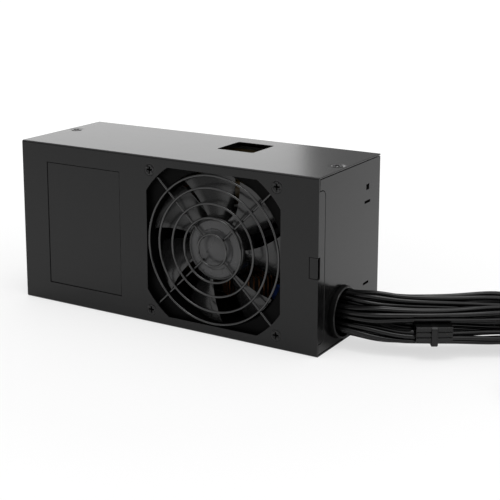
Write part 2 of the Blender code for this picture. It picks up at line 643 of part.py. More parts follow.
def make_inlet():
    y, z = INLET_Y, INLET_Z
    front, inner_end = MAINS_X - INLET_OUT, MAINS_X + INLET_DEEP
    flange = around(y, z, *mm(15.4, 11.4, 2.5), 4)
    inlet = prism("ac_inlet", flange, "X", front, MAINS_X - GAP, BLACK_PLASTIC)
    body = around(y, z, *mm(13.8, 10, 2), 3)
    join(inlet, prism("inlet_body", body, "X", front + 1 * MM, inner_end, BLACK_PLASTIC))
    wide, tall, slant = 12.2 * MM, 8.2 * MM, 5 * MM
    cavity = [
        (y - wide, z - tall), (y + wide, z - tall), (y + wide, z + tall - slant),
        (y + wide - slant, z + tall), (y - wide + slant, z + tall), (y - wide, z + tall - slant),
    ]
    cut(inlet, prism("inlet_cavity", cavity, "X", front - PAST, MAINS_X + 15.5 * MM, BLACK_PLASTIC))
    half_y, half_z = PIN_SIZE[0] / 2, PIN_SIZE[1] / 2
    for name, dy, dz, behind in (
        ("inlet_pin_live", PIN_SPREAD, -1.5 * MM, 5.0 * MM),
        ("inlet_pin_neutral", -PIN_SPREAD, -1.5 * MM, 5.0 * MM),
        ("inlet_pin_earth", 0, 2.0 * MM, 4.6 * MM),
    ):
        low = (front + behind, y + dy - half_y, z + dz - half_z)
        high = (inner_end + 5 * MM, y + dy + half_y, z + dz + half_z)
        box(name, low, high, BRASS)
        hole_low = (MAINS_X + 10 * MM, low[1] - GAP, low[2] - GAP)
        hole_high = (inner_end + PAST, high[1] + GAP, high[2] + GAP)
        cut(inlet, box(f"{name}_hole", hole_low, hole_high, BLACK_PLASTIC))


ROCK_AXIS_X = MAINS_X + 1.0 * MM
ROCK_TILT = math.radians(10)  # each way from level
ROCKER_HALF = 4.6 * MM


def make_switch():
    y, z = SWITCH_Y, SWITCH_Z
    front = MAINS_X - 1.5 * MM
    flange = around(y, z, *mm(7.5, 10.5, 1.5), 3)
    housing = prism("switch_housing", flange, "X", front, MAINS_X - GAP, BLACK_PLASTIC)
    body = around(y, z, *mm(6.4, 9.4, 0.8), 2)
    join(housing, prism("switch_body", body, "X", front + 0.8 * MM, MAINS_X + 13 * MM, BLACK_PLASTIC))
    well_low = (front - PAST, y - 5 * MM, z - 7.9 * MM)
    well_high = (ROCK_AXIS_X + 6.2 * MM, y + 5 * MM, z + 7.9 * MM)
    cut(housing, box("switch_well", well_low, well_high, BLACK_PLASTIC))
    # The rocker's outline about its axis, outwards and up, tilted to one stop.
    outline = [(-4.2, -5.8), (-4.2, 5.8), (2.4, 6.9), (1.7, 3.4), (1.45, 0), (1.7, -3.4), (2.4, -6.9)]
    c, s = math.cos(-ROCK_TILT), math.sin(-ROCK_TILT)
    points = [(-(out * c - up * s) * MM, (out * s + up * c) * MM) for out, up in outline]
    rocker = prism("switch_rocker", points, "Y", -ROCKER_HALF, ROCKER_HALF, BLACK_PLASTIC)
    rocker.location = (ROCK_AXIS_X, y, z)


make_inlet()
make_switch()

# ---------------------------------------------------------------- bushing, loom and its plugs
# The loom's line on the ground, in millimetres (x, y). It leaves along +X, swings aside, and after
# the last point runs on to the fold, turns through half a circle and comes back beside itself.
LOOM_LINE = [
    (81, -8.8), (88, -8.8), (98, -8.3), (107, -6.3), (117, -2.2), (128, 4.2), (140, 12.2),
    (152, 20.5), (164, 28.2), (178, 35.4), (193, 39.4), (209, 40.4), (230, 40.4), (250, 40.4),
]
FOLD_X, FOLD_R = 266, 27
RETURN_END = 190
# Places along the line where the cords' positions in the loom are set, in millimetres from its start.
AT_BUSH, AT_BUSH_END, AT_VIEW, AT_VIEW_END, AT_DROP, AT_FLAT, AT_FLAT_END = 0, 13, 40, 80, 106, 130, 205
AT_RETURN = 285
# Each cord: radius, its (place, across, height) stations after the bushing, and where it ends.
# Across is positive to the left of the line, height is above the ground.
LOOM = {
    "main_cable_1": (3.63, [
        (AT_BUSH, 0.7, 23.4), (AT_BUSH_END, 0.7, 23.4), (AT_VIEW, 0.5, 23.4), (AT_VIEW_END, 0.5, 23.4),
        (AT_DROP, 0.2, 18.9), (AT_FLAT, 0, 11.7), (AT_FLAT_END, 0, 11.7), (AT_RETURN, 0, 10.8),
        (316, 0, 10.8), (333, -1.5, 7.2), (341, -5.0, 5.3), (348, -5.0, 5.3)]),
    "main_cable_2": (3.63, [
        (AT_BUSH, -4.2, 17.5), (AT_BUSH_END, -4.2, 17.5), (AT_VIEW, -5.7, 19.0), (AT_VIEW_END, -5.7, 19.0),
        (AT_DROP, -4.8, 13.0), (AT_FLAT, -3.95, 5.1), (AT_FLAT_END, -3.95, 5.1), (AT_RETURN, -3.95, 4.2),
        (312, -3.95, 4.2), (333, -15.5, 4.8), (341, -21.9, 5.3), (348, -21.9, 5.3)]),
    "main_cable_3": (3.63, [
        (AT_BUSH, 5.0, 17.1), (AT_BUSH_END, 5.0, 17.1), (AT_VIEW, 0.9, 12.9), (AT_VIEW_END, 0.9, 12.9),
        (AT_DROP, 3.5, 11.0), (AT_FLAT, 3.95, 5.1), (AT_FLAT_END, 3.95, 5.1), (AT_RETURN, 3.95, 4.2),
        (312, 3.95, 4.2), (333, 8.5, 4.8), (341, 11.9, 5.3), (348, 11.9, 5.3)]),
    "drive_cable_1": (2.97, [
        (AT_BUSH, -5.4, 10.6), (AT_BUSH_END, -5.4, 10.6), (AT_VIEW, -7.2, 8.9), (AT_VIEW_END, -7.2, 8.9),
        (AT_DROP, -9.5, 5.0), (AT_FLAT, -10.9, 4.4), (AT_FLAT_END, -10.9, 4.4), (268, -10.9, 4.0),
        (287, -9.8, 10.5), (306, -5.0, 17.7), (314, -5.0, 17.7)]),
    "drive_cable_2": (2.97, [
        (AT_BUSH, 0.7, 7.3), (AT_BUSH_END, 0.7, 7.3), (AT_VIEW, 2.8, 5.3), (AT_VIEW_END, 2.8, 5.3),
        (AT_DROP, 9.0, 4.0), (AT_FLAT, 10.9, 4.4), (AT_FLAT_END, 10.9, 4.4), (258, 11.4, 4.2),
        (272, 14.8, 8.2), (282, 16.4, 10.9), (290, 16.4, 10.9)]),
    "cpu_cable": (2.66, [
        (AT_BUSH, 6.2, 10.3), (AT_BUSH_END, 6.2, 10.3), (AT_VIEW, 10.8, 12.3), (AT_VIEW_END, 10.8, 12.3),
        (AT_DROP, 10.2, 11.8), (AT_FLAT, 9.2, 10.5), (AT_FLAT_END, 9.2, 10.5), (250, 8.0, 14.0),
        (270, 4.6, 19.0), (281, 4.0, 19.6), (289, 4.0, 19.6)]),
}
LOOM_STEP = 10  # between a cord's points, in millimetres
PLUG_RUN = 7  # the last stretch of a cord, square into its plug


def loom_line():
    """Points a millimetre or so apart along the loom's line, with the distance to each."""
    points = []
    ends = [LOOM_LINE[0]] + LOOM_LINE + [(FOLD_X, LOOM_LINE[-1][1])]
    for k in range(1, len(LOOM_LINE)):
        a, b, c, d = (Vector(p) for p in ends[k - 1 : k + 3])
        for i in range(12):
            t = i / 12
            bend, twist = 2 * a - 5 * b + 4 * c - d, 3 * b - a - 3 * c + d
            points.append(0.5 * (2 * b + (c - a) * t + bend * t * t + twist * t**3))
    centre = Vector((FOLD_X, LOOM_LINE[-1][1] - FOLD_R))
    points += [Vector((x, LOOM_LINE[-1][1])) for x in range(LOOM_LINE[-1][0], FOLD_X, 2)]
    points += [
        centre + FOLD_R * Vector((math.sin(t), math.cos(t)))
        for t in (math.pi * i / 60 for i in range(61))
    ]
    points += [Vector((x, centre.y - FOLD_R)) for x in range(FOLD_X - 2, RETURN_END - 1, -2)]
    run = [0.0]
    for a, b in zip(points, points[1:]):
        run.append(run[-1] + (b - a).length)
    return points, run


LINE, LINE_RUN = loom_line()


def on_line(place):
    """Point and heading of the loom's line at a distance from its start."""
    k = max(i for i in range(len(LINE) - 1) if LINE_RUN[i] <= place)
    share = (place - LINE_RUN[k]) / (LINE_RUN[k + 1] - LINE_RUN[k])
    before, after = LINE[max(k - 1, 0)], LINE[min(k + 2, len(LINE) - 1)]
    return LINE[k].lerp(LINE[k + 1], share), (after - before).normalized()


def cord_point(stations, place):
    """Where a cord lies at a distance along the loom's line, in metres."""
    for (p0, a0, h0), (p1, a1, h1) in zip(stations, stations[1:]):
        if place <= p1:
            break
    t = min(max((place - p0) / (p1 - p0), 0), 1)
    t = t * t * (3 - 2 * t)
    across, height = a0 + (a1 - a0) * t, h0 + (h1 - h0) * t
    spot, heading = on_line(place)
    return Vector((spot.x - heading.y * across, spot.y + heading.x * across, height)) * MM


def tube(name, radius, stations, start, end):
    """A cord from one place on the loom's line to another, as a round tube."""
    curve = bpy.data.curves.new(name, "CURVE")
    curve.dimensions = "3D"
    last = end - PLUG_RUN
    count = round((last - start) / LOOM_STEP)
    places = [start + (last - start) * i / count for i in range(count + 1)] + [end]
    line = curve.splines.new("POLY")
    line.points.add(len(places) - 1)
    for point, place in zip(line.points, places):
        point.co = (*cord_point(stations, place), 1)
    curve.bevel_depth = radius * MM
    curve.bevel_resolution = 2
    curve.use_fill_caps = True
    curve.materials.append(PVC)
    made = bpy.data.objects.new(name, curve)
    bpy.context.scene.collection.objects.link(made)
    return made


def turned_on_line(made, place, across, height):
    """Places an object made along +X at its own origin onto the loom's line."""
    spot, heading = on_line(place)
    made.location = Vector((spot.x - heading.y * across, spot.y + heading.x * across, height)) * MM
    made.rotation_euler = (0, 0, math.atan2(heading.y, heading.x))


def make_bushing():
    """Snap bushing: a proud ring outside the sheet, a neck through it and a barb behind it."""
    out, inner = X_END + BUSH_PROUD, X_END - SHEET - GAP
    barb = BUSH_NECK + 0.7 * MM
    profile = [
        (BUSH_BORE, X_END - 3 * MM), (barb, X_END - 2.6 * MM), (barb, inner), (BUSH_NECK, inner),
        (BUSH_NECK, X_END + GAP), (BUSH_R, X_END + GAP), (BUSH_R, out - 0.7 * MM),
        (BUSH_R - 0.35 * MM, out), (BUSH_BORE + 0.4 * MM, out), (BUSH_BORE, out - 0.5 * MM),
    ]
    turned("cable_bushing", profile, "X", (BUSH_Y, BUSH_Z), BLACK_PLASTIC, 32)


INLINE_START, INLINE_END = 41.5, 60.8  # the in-line connector's place on the loom's line


def make_loom():
    gap = GAP / MM
    for name, (radius, stations) in LOOM.items():
        end = stations[-1][0]
        if name == "drive_cable_1":
            tube(name, radius, stations, 0, INLINE_START - gap)
            tube("drive_cable_1_end", radius, stations, INLINE_END + gap, end)
        else:
            tube(name, radius, stations, 0, end)


# The in-line connector's body: how far it lies across the line, its width, its foot and its tiers' height.
INLINE_ACROSS, INLINE_WIDE, INLINE_LOW, TIER = -8.3, 9.8, 5.9, 3.0


def make_inline_connector():
    """Three-tier connector on the drive cable, with a clip band round its middle and a foot under it."""
    long, half = INLINE_END - INLINE_START, INLINE_WIDE / 2
    top = INLINE_LOW + 3 * TIER
    body = box("inline_connector", mm(-long / 2, -half, INLINE_LOW), mm(long / 2, half, top), BLACK_PLASTIC)
    for k in (1, 2):
        z = INLINE_LOW + k * TIER
        for side in (-1, 1):
            low, high = span(side * (half - 0.5), side * (half + 1))
            groove = box(f"groove_{k}_{side}", mm(-20, low, z - 0.3), mm(20, high, z + 0.3), BLACK_PLASTIC)
            cut(body, groove)
    outline = rounded(*mm(-half - 0.9, half + 0.4, INLINE_LOW - 1.8, top + 0.2, 1.6), 4)
    join(body, prism("clip_band", outline, "X", *mm(-2, 2), BLACK_PLASTIC))
    turned_on_line(body, (INLINE_START + INLINE_END) / 2, INLINE_ACROSS, 0)


TIE_PLACE, TIE_HALF, TIE_TOP, TIE_WIDE, TIE_THICK = 158, 16.0, 16.8, 3.6, 0.9


def make_tie():
    """Cable tie round the loom on the ground: a flat band with its head on top."""
    low, half = 0.1, TIE_HALF - TIE_THICK
    outer = rounded(*mm(-TIE_HALF, TIE_HALF, low, TIE_TOP, 5.5), 5)
    inner = rounded(*mm(-half, half, low + TIE_THICK, TIE_TOP - TIE_THICK, 4.6), 5)
    tie = prism("cable_tie", outer, "X", *mm(-TIE_WIDE / 2, TIE_WIDE / 2), BLACK_PLASTIC)
    cut(tie, prism("tie_inside", inner, "X", *mm(-10, 10), BLACK_PLASTIC))
    join(tie, box("tie_head", mm(-3, -8, 16.2), mm(3, -2.5, 20), BLACK_PLASTIC))
    turned_on_line(tie, TIE_PLACE, 0, 0)


RETURN_Y = LOOM_LINE[-1][1] - 2 * FOLD_R  # the returning run's line


def plug_face(cord):
    """Where a cord ends on the returning run and its plug starts, with the gap between them."""
    return FOLD_X - (LOOM[cord][1][-1][0] - fold_end()) - GAP / MM


def plug(name, cord, across, height, size, cells=(0, 0), cell=3.3, pitch=4.2, deep=7):
    """A plug on the returning run, with its open cells facing -X. Millimetres."""
    end, y = plug_face(cord), RETURN_Y - across
    long, wide, tall = size
    front = end - long
    low = mm(front, y - wide / 2, height - tall / 2)
    high = mm(end, y + wide / 2, height + tall / 2)
    body = box(name, low, high, BLACK_PLASTIC)
    for c in range(cells[0]):
        for r in range(cells[1]):
            cy = y + (c - (cells[0] - 1) / 2) * pitch
            cz = height + (r - (cells[1] - 1) / 2) * pitch
            low = mm(front - 1, cy - cell / 2, cz - cell / 2)
            high = mm(front + deep, cy + cell / 2, cz + cell / 2)
            cut(body, box(f"{name}_cell_{c}_{r}", low, high, BLACK_PLASTIC))
    return body


def latch(body, cord, across, top, wide):
    """A snap latch lying along the top of a plug."""
    end, y = plug_face(cord), RETURN_Y - across
    low, high = mm(end - 15, y - wide / 2, top - 0.5), mm(end - 1.5, y + wide / 2, top + 1.6)
    join(body, box(f"{body.name}_latch", low, high, BLACK_PLASTIC))


def make_plugs():
    main = plug("main_plug_20", "main_cable_1", -9.5, 5.3, (19.6, 41.6, 9.4), (10, 2))
    latch(main, "main_cable_1", -9.5, 10.0, 7)
    plug("main_plug_4", "main_cable_3", 15.9, 5.3, (19.6, 8.6, 9.4), (2, 2))
    cpu = plug("cpu_plug", "cpu_cable", 4.0, 19.6, (19.6, 8.9, 9.2), (2, 2))
    latch(cpu, "cpu_cable", 4.0, 24.2, 5)
    sata = plug("sata_plug", "drive_cable_1", -5.0, 17.7, (16, 24, 5.8))
    end, y = plug_face("drive_cable_1"), RETURN_Y + 5.0
    cut(sata, box("sata_slot", mm(end - 17, y - 10.6, 16.6), mm(end - 10, y + 10.6, 18.8), BLACK_PLASTIC))
    plug("drive_plug", "drive_cable_2", 16.4, 10.9, (21, 8.4, 20.8), (1, 4), 3.6, 5.0, 9)


def fold_end():
    """How far along the loom's line the fold ends."""
    return LINE_RUN[max(i for i in range(len(LINE)) if LINE[i].x >= FOLD_X)]


make_bushing()
make_loom()
make_inline_connector()
make_tie()
make_plugs()
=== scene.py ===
"""The power supply unit as it looks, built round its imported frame: case, fan, mains end and loom.

Units are metres. +X points to the cable end, -Y is the fan side and +Z is up, as in the frame.
"""

import math

import bmesh
import bpy
from mathutils import Matrix, Vector


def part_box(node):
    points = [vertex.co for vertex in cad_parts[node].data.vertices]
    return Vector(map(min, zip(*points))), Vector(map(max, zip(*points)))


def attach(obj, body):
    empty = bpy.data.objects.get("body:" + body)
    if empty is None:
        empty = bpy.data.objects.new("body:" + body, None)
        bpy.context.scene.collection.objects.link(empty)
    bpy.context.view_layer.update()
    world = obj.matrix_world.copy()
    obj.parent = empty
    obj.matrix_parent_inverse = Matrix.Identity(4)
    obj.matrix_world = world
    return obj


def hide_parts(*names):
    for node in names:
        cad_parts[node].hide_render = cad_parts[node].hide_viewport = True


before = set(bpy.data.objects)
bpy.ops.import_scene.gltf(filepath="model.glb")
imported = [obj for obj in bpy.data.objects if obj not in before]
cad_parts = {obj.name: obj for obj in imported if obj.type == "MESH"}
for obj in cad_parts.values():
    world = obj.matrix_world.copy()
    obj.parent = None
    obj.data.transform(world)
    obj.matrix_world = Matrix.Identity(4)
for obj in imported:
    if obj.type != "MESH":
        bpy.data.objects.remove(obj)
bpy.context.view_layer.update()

MM = 0.001


def mm(*values):
    """Lengths given in millimetres, as a tuple in metres."""
    return tuple(value * MM for value in values)


# ---------------------------------------------------------------- camera
def make_camera():
    """Tilted a little, with its lens shifted down, so that upright edges stay nearly parallel."""
    azimuth, tilt, roll = (math.radians(a) for a in (30.966, 11.319, 0.105))
    level = math.cos(tilt)
    back = Vector((math.sin(azimuth) * level, -math.cos(azimuth) * level, math.sin(tilt)))
    right = Vector((math.cos(azimuth), math.sin(azimuth), 0))
    up = back.cross(right)
    lens = bpy.data.cameras.new("camera")
    lens.lens, lens.sensor_width, lens.shift_y = 84.148, 36, -0.2
    lens.clip_start, lens.clip_end = 0.01, 60
    camera = bpy.data.objects.new("camera", lens)
    rolled = (
        right * math.cos(roll) + up * math.sin(roll),
        up * math.cos(roll) - right * math.sin(roll),
        back,
    )
    placed = Matrix(rolled).transposed().to_4x4()
    placed.translation = mm(323.024, -485.240, 199.745)
    camera.matrix_world = placed
    bpy.context.scene.collection.objects.link(camera)
    bpy.context.scene.camera = camera


make_camera()


# ---------------------------------------------------------------- materials
class Nodes:
    """A material's node tree, with short ways to add and join nodes."""

    def __init__(self, made):
        made.use_nodes = True
        self.tree = made.node_tree
        self.shader = self.tree.nodes["Principled BSDF"]
        self.place = self.add("TexCoord").outputs["Object"]

    def add(self, kind, **inputs):
        node = self.tree.nodes.new("ShaderNode" + kind)
        for name, value in inputs.items():
            self.put(node.inputs[name.replace("_", " ")], value)
        return node

    def put(self, socket, value):
        if isinstance(value, bpy.types.NodeSocket):
            self.tree.links.new(value, socket)
        else:
            socket.default_value = value

    def noise(self, scale, detail=2.0, stretch=(1, 1, 1)):
        spot = self.add("Mapping", Vector=self.place, Scale=stretch).outputs["Vector"]
        return self.add("TexNoise", Vector=spot, Scale=scale, Detail=detail).outputs["Fac"]

    def spread(self, factor, low, high):
        """A number that goes from low to high as a noise goes through its usual range."""
        ranged = self.add("MapRange", Value=factor)
        for name, value in (("From Min", 0.3), ("From Max", 0.7), ("To Min", low), ("To Max", high)):
            ranged.inputs[name].default_value = value
        return ranged.outputs["Result"]

    def multiplied(self, first, second):
        node = self.add("Math")
        node.operation = "MULTIPLY"
        self.put(node.inputs[0], first)
        self.put(node.inputs[1], second)
        return node.outputs["Value"]

    def colours(self, factor, *stops):
        """A colour ramp of (place, colour) stops."""
        ramp = self.add("ValToRGB", Fac=factor)
        places = ramp.color_ramp.elements
        while len(places) < len(stops):
            places.new(0.5)
        for element, (place, colour) in zip(places, stops):
            element.position, element.color = place, (*colour, 1)
        return ramp.outputs["Color"]

    def bump(self, height, deep):
        return self.add("Bump", Height=height, Strength=1.0, Distance=deep).outputs["Normal"]


def tint(colour, by):
    return tuple(min(c * by, 1) for c in colour)


def surface(
    name, slot, colour, rough, metallic=0.0, specular=0.5, vary=0.15, cloud=90, grain=2500, deep=0.01,
    stretch=(1, 1, 1), rough_vary=0.05, coat=0.0,
):
    """A finish with broad clouds of colour and gloss and a fine grain. Grain is per metre, deep in mm."""
    made = bpy.data.materials.new(name)
    made["slot"] = slot
    nodes = Nodes(made)
    shader = nodes.shader
    shader.inputs["Metallic"].default_value = metallic
    shader.inputs["Specular IOR Level"].default_value = specular
    shader.inputs["Coat Weight"].default_value = coat
    shader.inputs["Coat Roughness"].default_value = 0.15
    broad = nodes.noise(cloud, 4, stretch)
    fine = nodes.noise(grain, 2, stretch)
    nodes.put(
        shader.inputs["Base Color"],
        nodes.colours(broad, (0.3, tint(colour, 1 - vary)), (0.7, tint(colour, 1 + vary))),
    )
    nodes.put(shader.inputs["Roughness"], nodes.spread(broad, rough - rough_vary, rough + rough_vary))
    nodes.put(shader.inputs["Normal"], nodes.bump(fine, deep * MM))
    return made


COAT = surface(
    "powder_coat", "case_coat", (0.004, 0.004, 0.0041), 0.21, specular=0.33, vary=0.06, grain=2200,
    deep=0.0025, rough_vary=0.004,
)
# A dark matte finish for the insides of grooves and the screws' cross recesses: painted shade in them.
PAINTED_SHADE = surface("recess", "case_coat", (0.0012, 0.0012, 0.0012), 0.6, specular=0.05, deep=0.004)
BLACK_STEEL = surface("grille_wire", "grille_steel", (0.003, 0.003, 0.003), 0.12, specular=0.8, deep=0.002)
SCREW_BLACK = surface("screw_black", "screw_black", (0.004, 0.004, 0.0041), 0.24, specular=0.34, deep=0.003)
PLASTIC = surface(
    "fan_plastic", "black_plastic", (0.01, 0.01, 0.0101), 0.22, specular=0.6, vary=0.08, deep=0.0005,
    rough_vary=0.02,
)
HUB_CAP = surface("hub_cap", "black_plastic", (0.042, 0.042, 0.043), 0.26, vary=0.05, deep=0.0005)
# A darker, duller copy of the fan's plastic: painted shade on the frame, which sits back in the opening.
SHADED_FRAME_PLASTIC = surface(
    "frame_plastic_painted_shade", "black_plastic", (0.0015, 0.0015, 0.0015), 0.5, specular=0.06, deep=0.008
)
NYLON = surface("nylon", "connector_nylon", (0.004, 0.004, 0.0041), 0.3, specular=0.35, deep=0.004)
# A darker, duller copy of the nylon: painted shade on the bushing's wall behind its lip.
SHADED_NYLON = surface("nylon_painted_shade", "connector_nylon", (0.002, 0.002, 0.002), 0.5, specular=0.08, deep=0.004)
PVC = surface(
    "cable_pvc", "cable_pvc", (0.0025, 0.0025, 0.0026), 0.16, specular=0.35, vary=0.3, grain=900, deep=0.003
)
LAMINATE = surface("laminate", "board_laminate", (0.07, 0.05, 0.02), 0.42, cloud=260, grain=1800, deep=0.01)
ALUMINIUM = surface(
    "brushed_aluminium", "aluminium", (0.2, 0.2, 0.2), 0.4, 1.0, vary=0.06, grain=1500, stretch=(1, 12, 12)
)
STEEL = surface("bright_steel", "steel", (0.56, 0.55, 0.54), 0.28, 1.0, grain=1600, stretch=(10, 1, 10))
BRASS = surface("brass", "brass", (0.72, 0.5, 0.2), 0.3, 1.0, vary=0.1)
# Darker than copper's own colour: painted shade for the dim inside of the case.
SHADED_COPPER = surface("enamelled_copper_painted_shade", "copper", (0.15, 0.058, 0.019), 0.34, 0.6, vary=0.4, coat=0.3)
FERRITE = surface("ferrite", "ferrite", (0.02, 0.019, 0.018), 0.62, vary=0.25, grain=1400, deep=0.03)
# Far darker than the tape's own yellow: painted shade for the dim inside of the case.
SHADED_TAPE = surface(
    "yellow_tape", "yellow_tape", (0.022, 0.014, 0.004), 0.4, vary=0.1, grain=400, deep=0.02, coat=0.2
)
SLEEVE = surface(
    "capacitor_sleeve", "capacitor_sleeve", (0.008, 0.01, 0.02), 0.3, vary=0.1, grain=300, deep=0.01
)
# Darker than the epoxy's own blue: painted shade for the dim inside of the case.
SHADED_BLUE = surface("blue_epoxy", "blue_epoxy", (0.015, 0.045, 0.2), 0.34, grain=700, deep=0.03, coat=0.3)
PRINT = surface("white_print", "black_plastic", (0.7, 0.7, 0.7), 0.5, vary=0.03, deep=0.001)
FILM = surface("film_sheet", "film_sheet", (0.1, 0.1, 0.09), 0.36, vary=0.06, grain=500, deep=0.02)


# ---------------------------------------------------------------- modelling helpers
def span(a, b):
    return min(a, b), max(a, b)


def add(name, bm, look, smooth_under=40):
    """Puts a mesh in the scene with its faces turned outwards and its round stretches smooth."""
    bmesh.ops.recalc_face_normals(bm, faces=bm.faces)
    mesh = bpy.data.meshes.new(name)
    bm.to_mesh(mesh)
    bm.free()
    mesh.materials.append(look)
    mesh.shade_smooth()
    mesh.set_sharp_from_angle(angle=math.radians(smooth_under))
    made = bpy.data.objects.new(name, mesh)
    bpy.context.scene.collection.objects.link(made)
    return made


def box(name, low, high, look):
    bm = bmesh.new()
    bmesh.ops.create_cube(bm, size=1)
    for v in bm.verts:
        v.co = [a + (b - a) * (c + 0.5) for a, b, c in zip(low, high, v.co)]
    return add(name, bm, look)


def along(axis, a, b, c):
    """A point with its (a, b) across the axis and c along it. Across X is (Y, Z), across Y is (X, Z)."""
    return {"X": (c, a, b), "Y": (a, c, b), "Z": (a, b, c)}[axis]


def prism(name, outline, axis, low, high, look):
    """A closed outline pushed from low to high along an axis."""
    bm = bmesh.new()
    face = bm.faces.new([bm.verts.new(along(axis, a, b, low)) for a, b in outline])
    pushed = bmesh.ops.extrude_face_region(bm, geom=[face])
    moved = [v for v in pushed["geom"] if isinstance(v, bmesh.types.BMVert)]
    bmesh.ops.translate(bm, vec=Vector(along(axis, 0, 0, high - low)), verts=moved)
    return add(name, bm, look)


def turned(name, profile, axis, centre, look, steps=64):
    """A profile of (radius, place along the axis) points turned about an axis through centre."""
    bm = bmesh.new()
    spin(bm, profile, axis, centre, steps)
    return add(name, bm, look)


def spin(bm, profile, axis, centre, steps):
    turns = [2 * math.pi * i / steps for i in range(steps)]
    rings = []
    for radius, place in profile:
        if radius == 0:
            rings.append([bm.verts.new(along(axis, *centre, place))] * steps)
            continue
        spots = [(centre[0] + radius * math.cos(t), centre[1] + radius * math.sin(t)) for t in turns]
        rings.append([bm.verts.new(along(axis, a, b, place)) for a, b in spots])
    closed = profile[0][0] != 0
    for k in range(len(rings) if closed else len(rings) - 1):
        first, second = rings[k], rings[(k + 1) % len(rings)]
        for i in range(steps):
            j = (i + 1) % steps
            corners = dict.fromkeys((first[i], first[j], second[j], second[i]))
            if len(corners) > 2:
                bm.faces.new(corners)


def sweep(bm, points, radius, sides=8, closed=False):
    """A round wire along points, with flat ends, or joined end to end."""
    points = [Vector(p) for p in points]
    count = len(points)
    rings = []
    side = None
    for i, point in enumerate(points):
        before = points[i - 1] if i or closed else point
        after = points[(i + 1) % count] if i < count - 1 or closed else point
        heading = (after - before).normalized()
        if side is None:
            side = heading.orthogonal().normalized()
        side = (side - heading * side.dot(heading)).normalized()
        up = heading.cross(side)
        turns = [2 * math.pi * k / sides for k in range(sides)]
        rings.append([bm.verts.new(point + radius * (side * math.cos(t) + up * math.sin(t))) for t in turns])
    for i in range(count if closed else count - 1):
        first, second = rings[i], rings[(i + 1) % count]
        start = 0
        if i == count - 1:
            start = min(range(sides), key=lambda k: (second[k].co - first[0].co).length)
        for k in range(sides):
            j = (k + 1) % sides
            bm.faces.new((first[k], first[j], second[(start + j) % sides], second[(start + k) % sides]))
    if not closed:
        bm.faces.new(rings[0])
        bm.faces.new(rings[-1])


def rounded(a0, a1, b0, b1, radius, steps=6):
    """A rectangle's outline with round corners."""
    points = []
    for ca, cb, start in (
        (a1 - radius, b1 - radius, 0),
        (a0 + radius, b1 - radius, 90),
        (a0 + radius, b0 + radius, 180),
        (a1 - radius, b0 + radius, 270),
    ):
        for i in range(steps + 1):
            t = math.radians(start + 90 * i / steps)
            points.append((ca + radius * math.cos(t), cb + radius * math.sin(t)))
    return points


def regular(a, b, radius, sides, start=0.0):
    turn = [start + 2 * math.pi * i / sides for i in range(sides)]
    return [(a + radius * math.cos(t), b + radius * math.sin(t)) for t in turn]


def settle(obj):
    """Applies an object's modifiers to its mesh."""
    bpy.context.view_layer.update()
    graph = bpy.context.evaluated_depsgraph_get()
    mesh = bpy.data.meshes.new_from_object(obj.evaluated_get(graph))
    old = obj.data
    obj.modifiers.clear()
    obj.data = mesh
    bpy.data.meshes.remove(old)
    return obj


def boolean(target, tools, operation):
    for tool in tools:
        step = target.modifiers.new(tool.name, "BOOLEAN")
        step.operation = operation
        step.object = tool
        step.material_mode = "TRANSFER"
    settle(target)
    for tool in tools:
        bpy.data.objects.remove(tool)
    return target


def cut(target, *tools):
    return boolean(target, tools, "DIFFERENCE")


def join(target, *tools):
    return boolean(target, tools, "UNION")


def soften(obj, width, segments=2, angle=35):
    """Rounds the sharp edges by a width in millimetres, and keeps the flats flat."""
    bm = bmesh.new()
    bm.from_mesh(obj.data)
    bmesh.ops.remove_doubles(bm, verts=bm.verts, dist=2e-6)
    bmesh.ops.dissolve_limit(bm, angle_limit=math.radians(0.4), verts=bm.verts, edges=bm.edges)
    bm.to_mesh(obj.data)
    bm.free()
    step = obj.modifiers.new("soften", "BEVEL")
    step.width = width * MM
    step.segments = segments
    step.limit_method = "ANGLE"
    step.angle_limit = math.radians(angle)
    step.use_clamp_overlap = False
    step.harden_normals = True
    obj.data.shade_smooth()
    obj.data.set_sharp_from_angle(angle=math.radians(angle))
    level(obj)
    return settle(obj)


def level(obj):
    """Turns the normals round a flat face to its own, so that small cuts in it don't shade it."""
    step = obj.modifiers.new("level", "WEIGHTED_NORMAL")
    step.keep_sharp = True
    step.weight = 100


def piece(obj, body, *nodes):
    """Makes an object a piece of a body, with its material's slot, in place of CAD nodes."""
    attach(obj, body)
    if nodes:
        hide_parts(*nodes)
    return obj


def fine(node, look, body="case", width=0.2, segments=2):
    """The CAD node's own shape with its edges softened, standing for the node."""
    bm = bmesh.new()
    bm.from_mesh(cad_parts[node].data)
    bmesh.ops.remove_doubles(bm, verts=bm.verts, dist=2e-6)
    made = soften(add(node + "_fine", bm, look), width, segments)
    return piece(made, body, node)


# ---------------------------------------------------------------- the loom's cords
# The loom's line on the ground, in millimetres (x, y), as in the frame. After the last point it runs
# on to the fold, turns through half a circle and comes back beside itself.
LOOM_LINE = [
    (81, -8.8), (88, -8.8), (98, -8.3), (107, -6.3), (117, -2.2), (128, 4.2), (140, 12.2),
    (152, 20.5), (164, 28.2), (178, 35.4), (193, 39.4), (209, 40.4), (230, 40.4), (250, 40.4),
]
FOLD_X, FOLD_R = 266, 27
RETURN_END = 190
# Places along the line where the cords' positions in the loom are set, in millimetres from its start.
AT_BUSH, AT_BUSH_END, AT_VIEW, AT_VIEW_END, AT_DROP, AT_FLAT, AT_FLAT_END = 0, 13, 40, 80, 106, 130, 205
AT_RETURN = 285
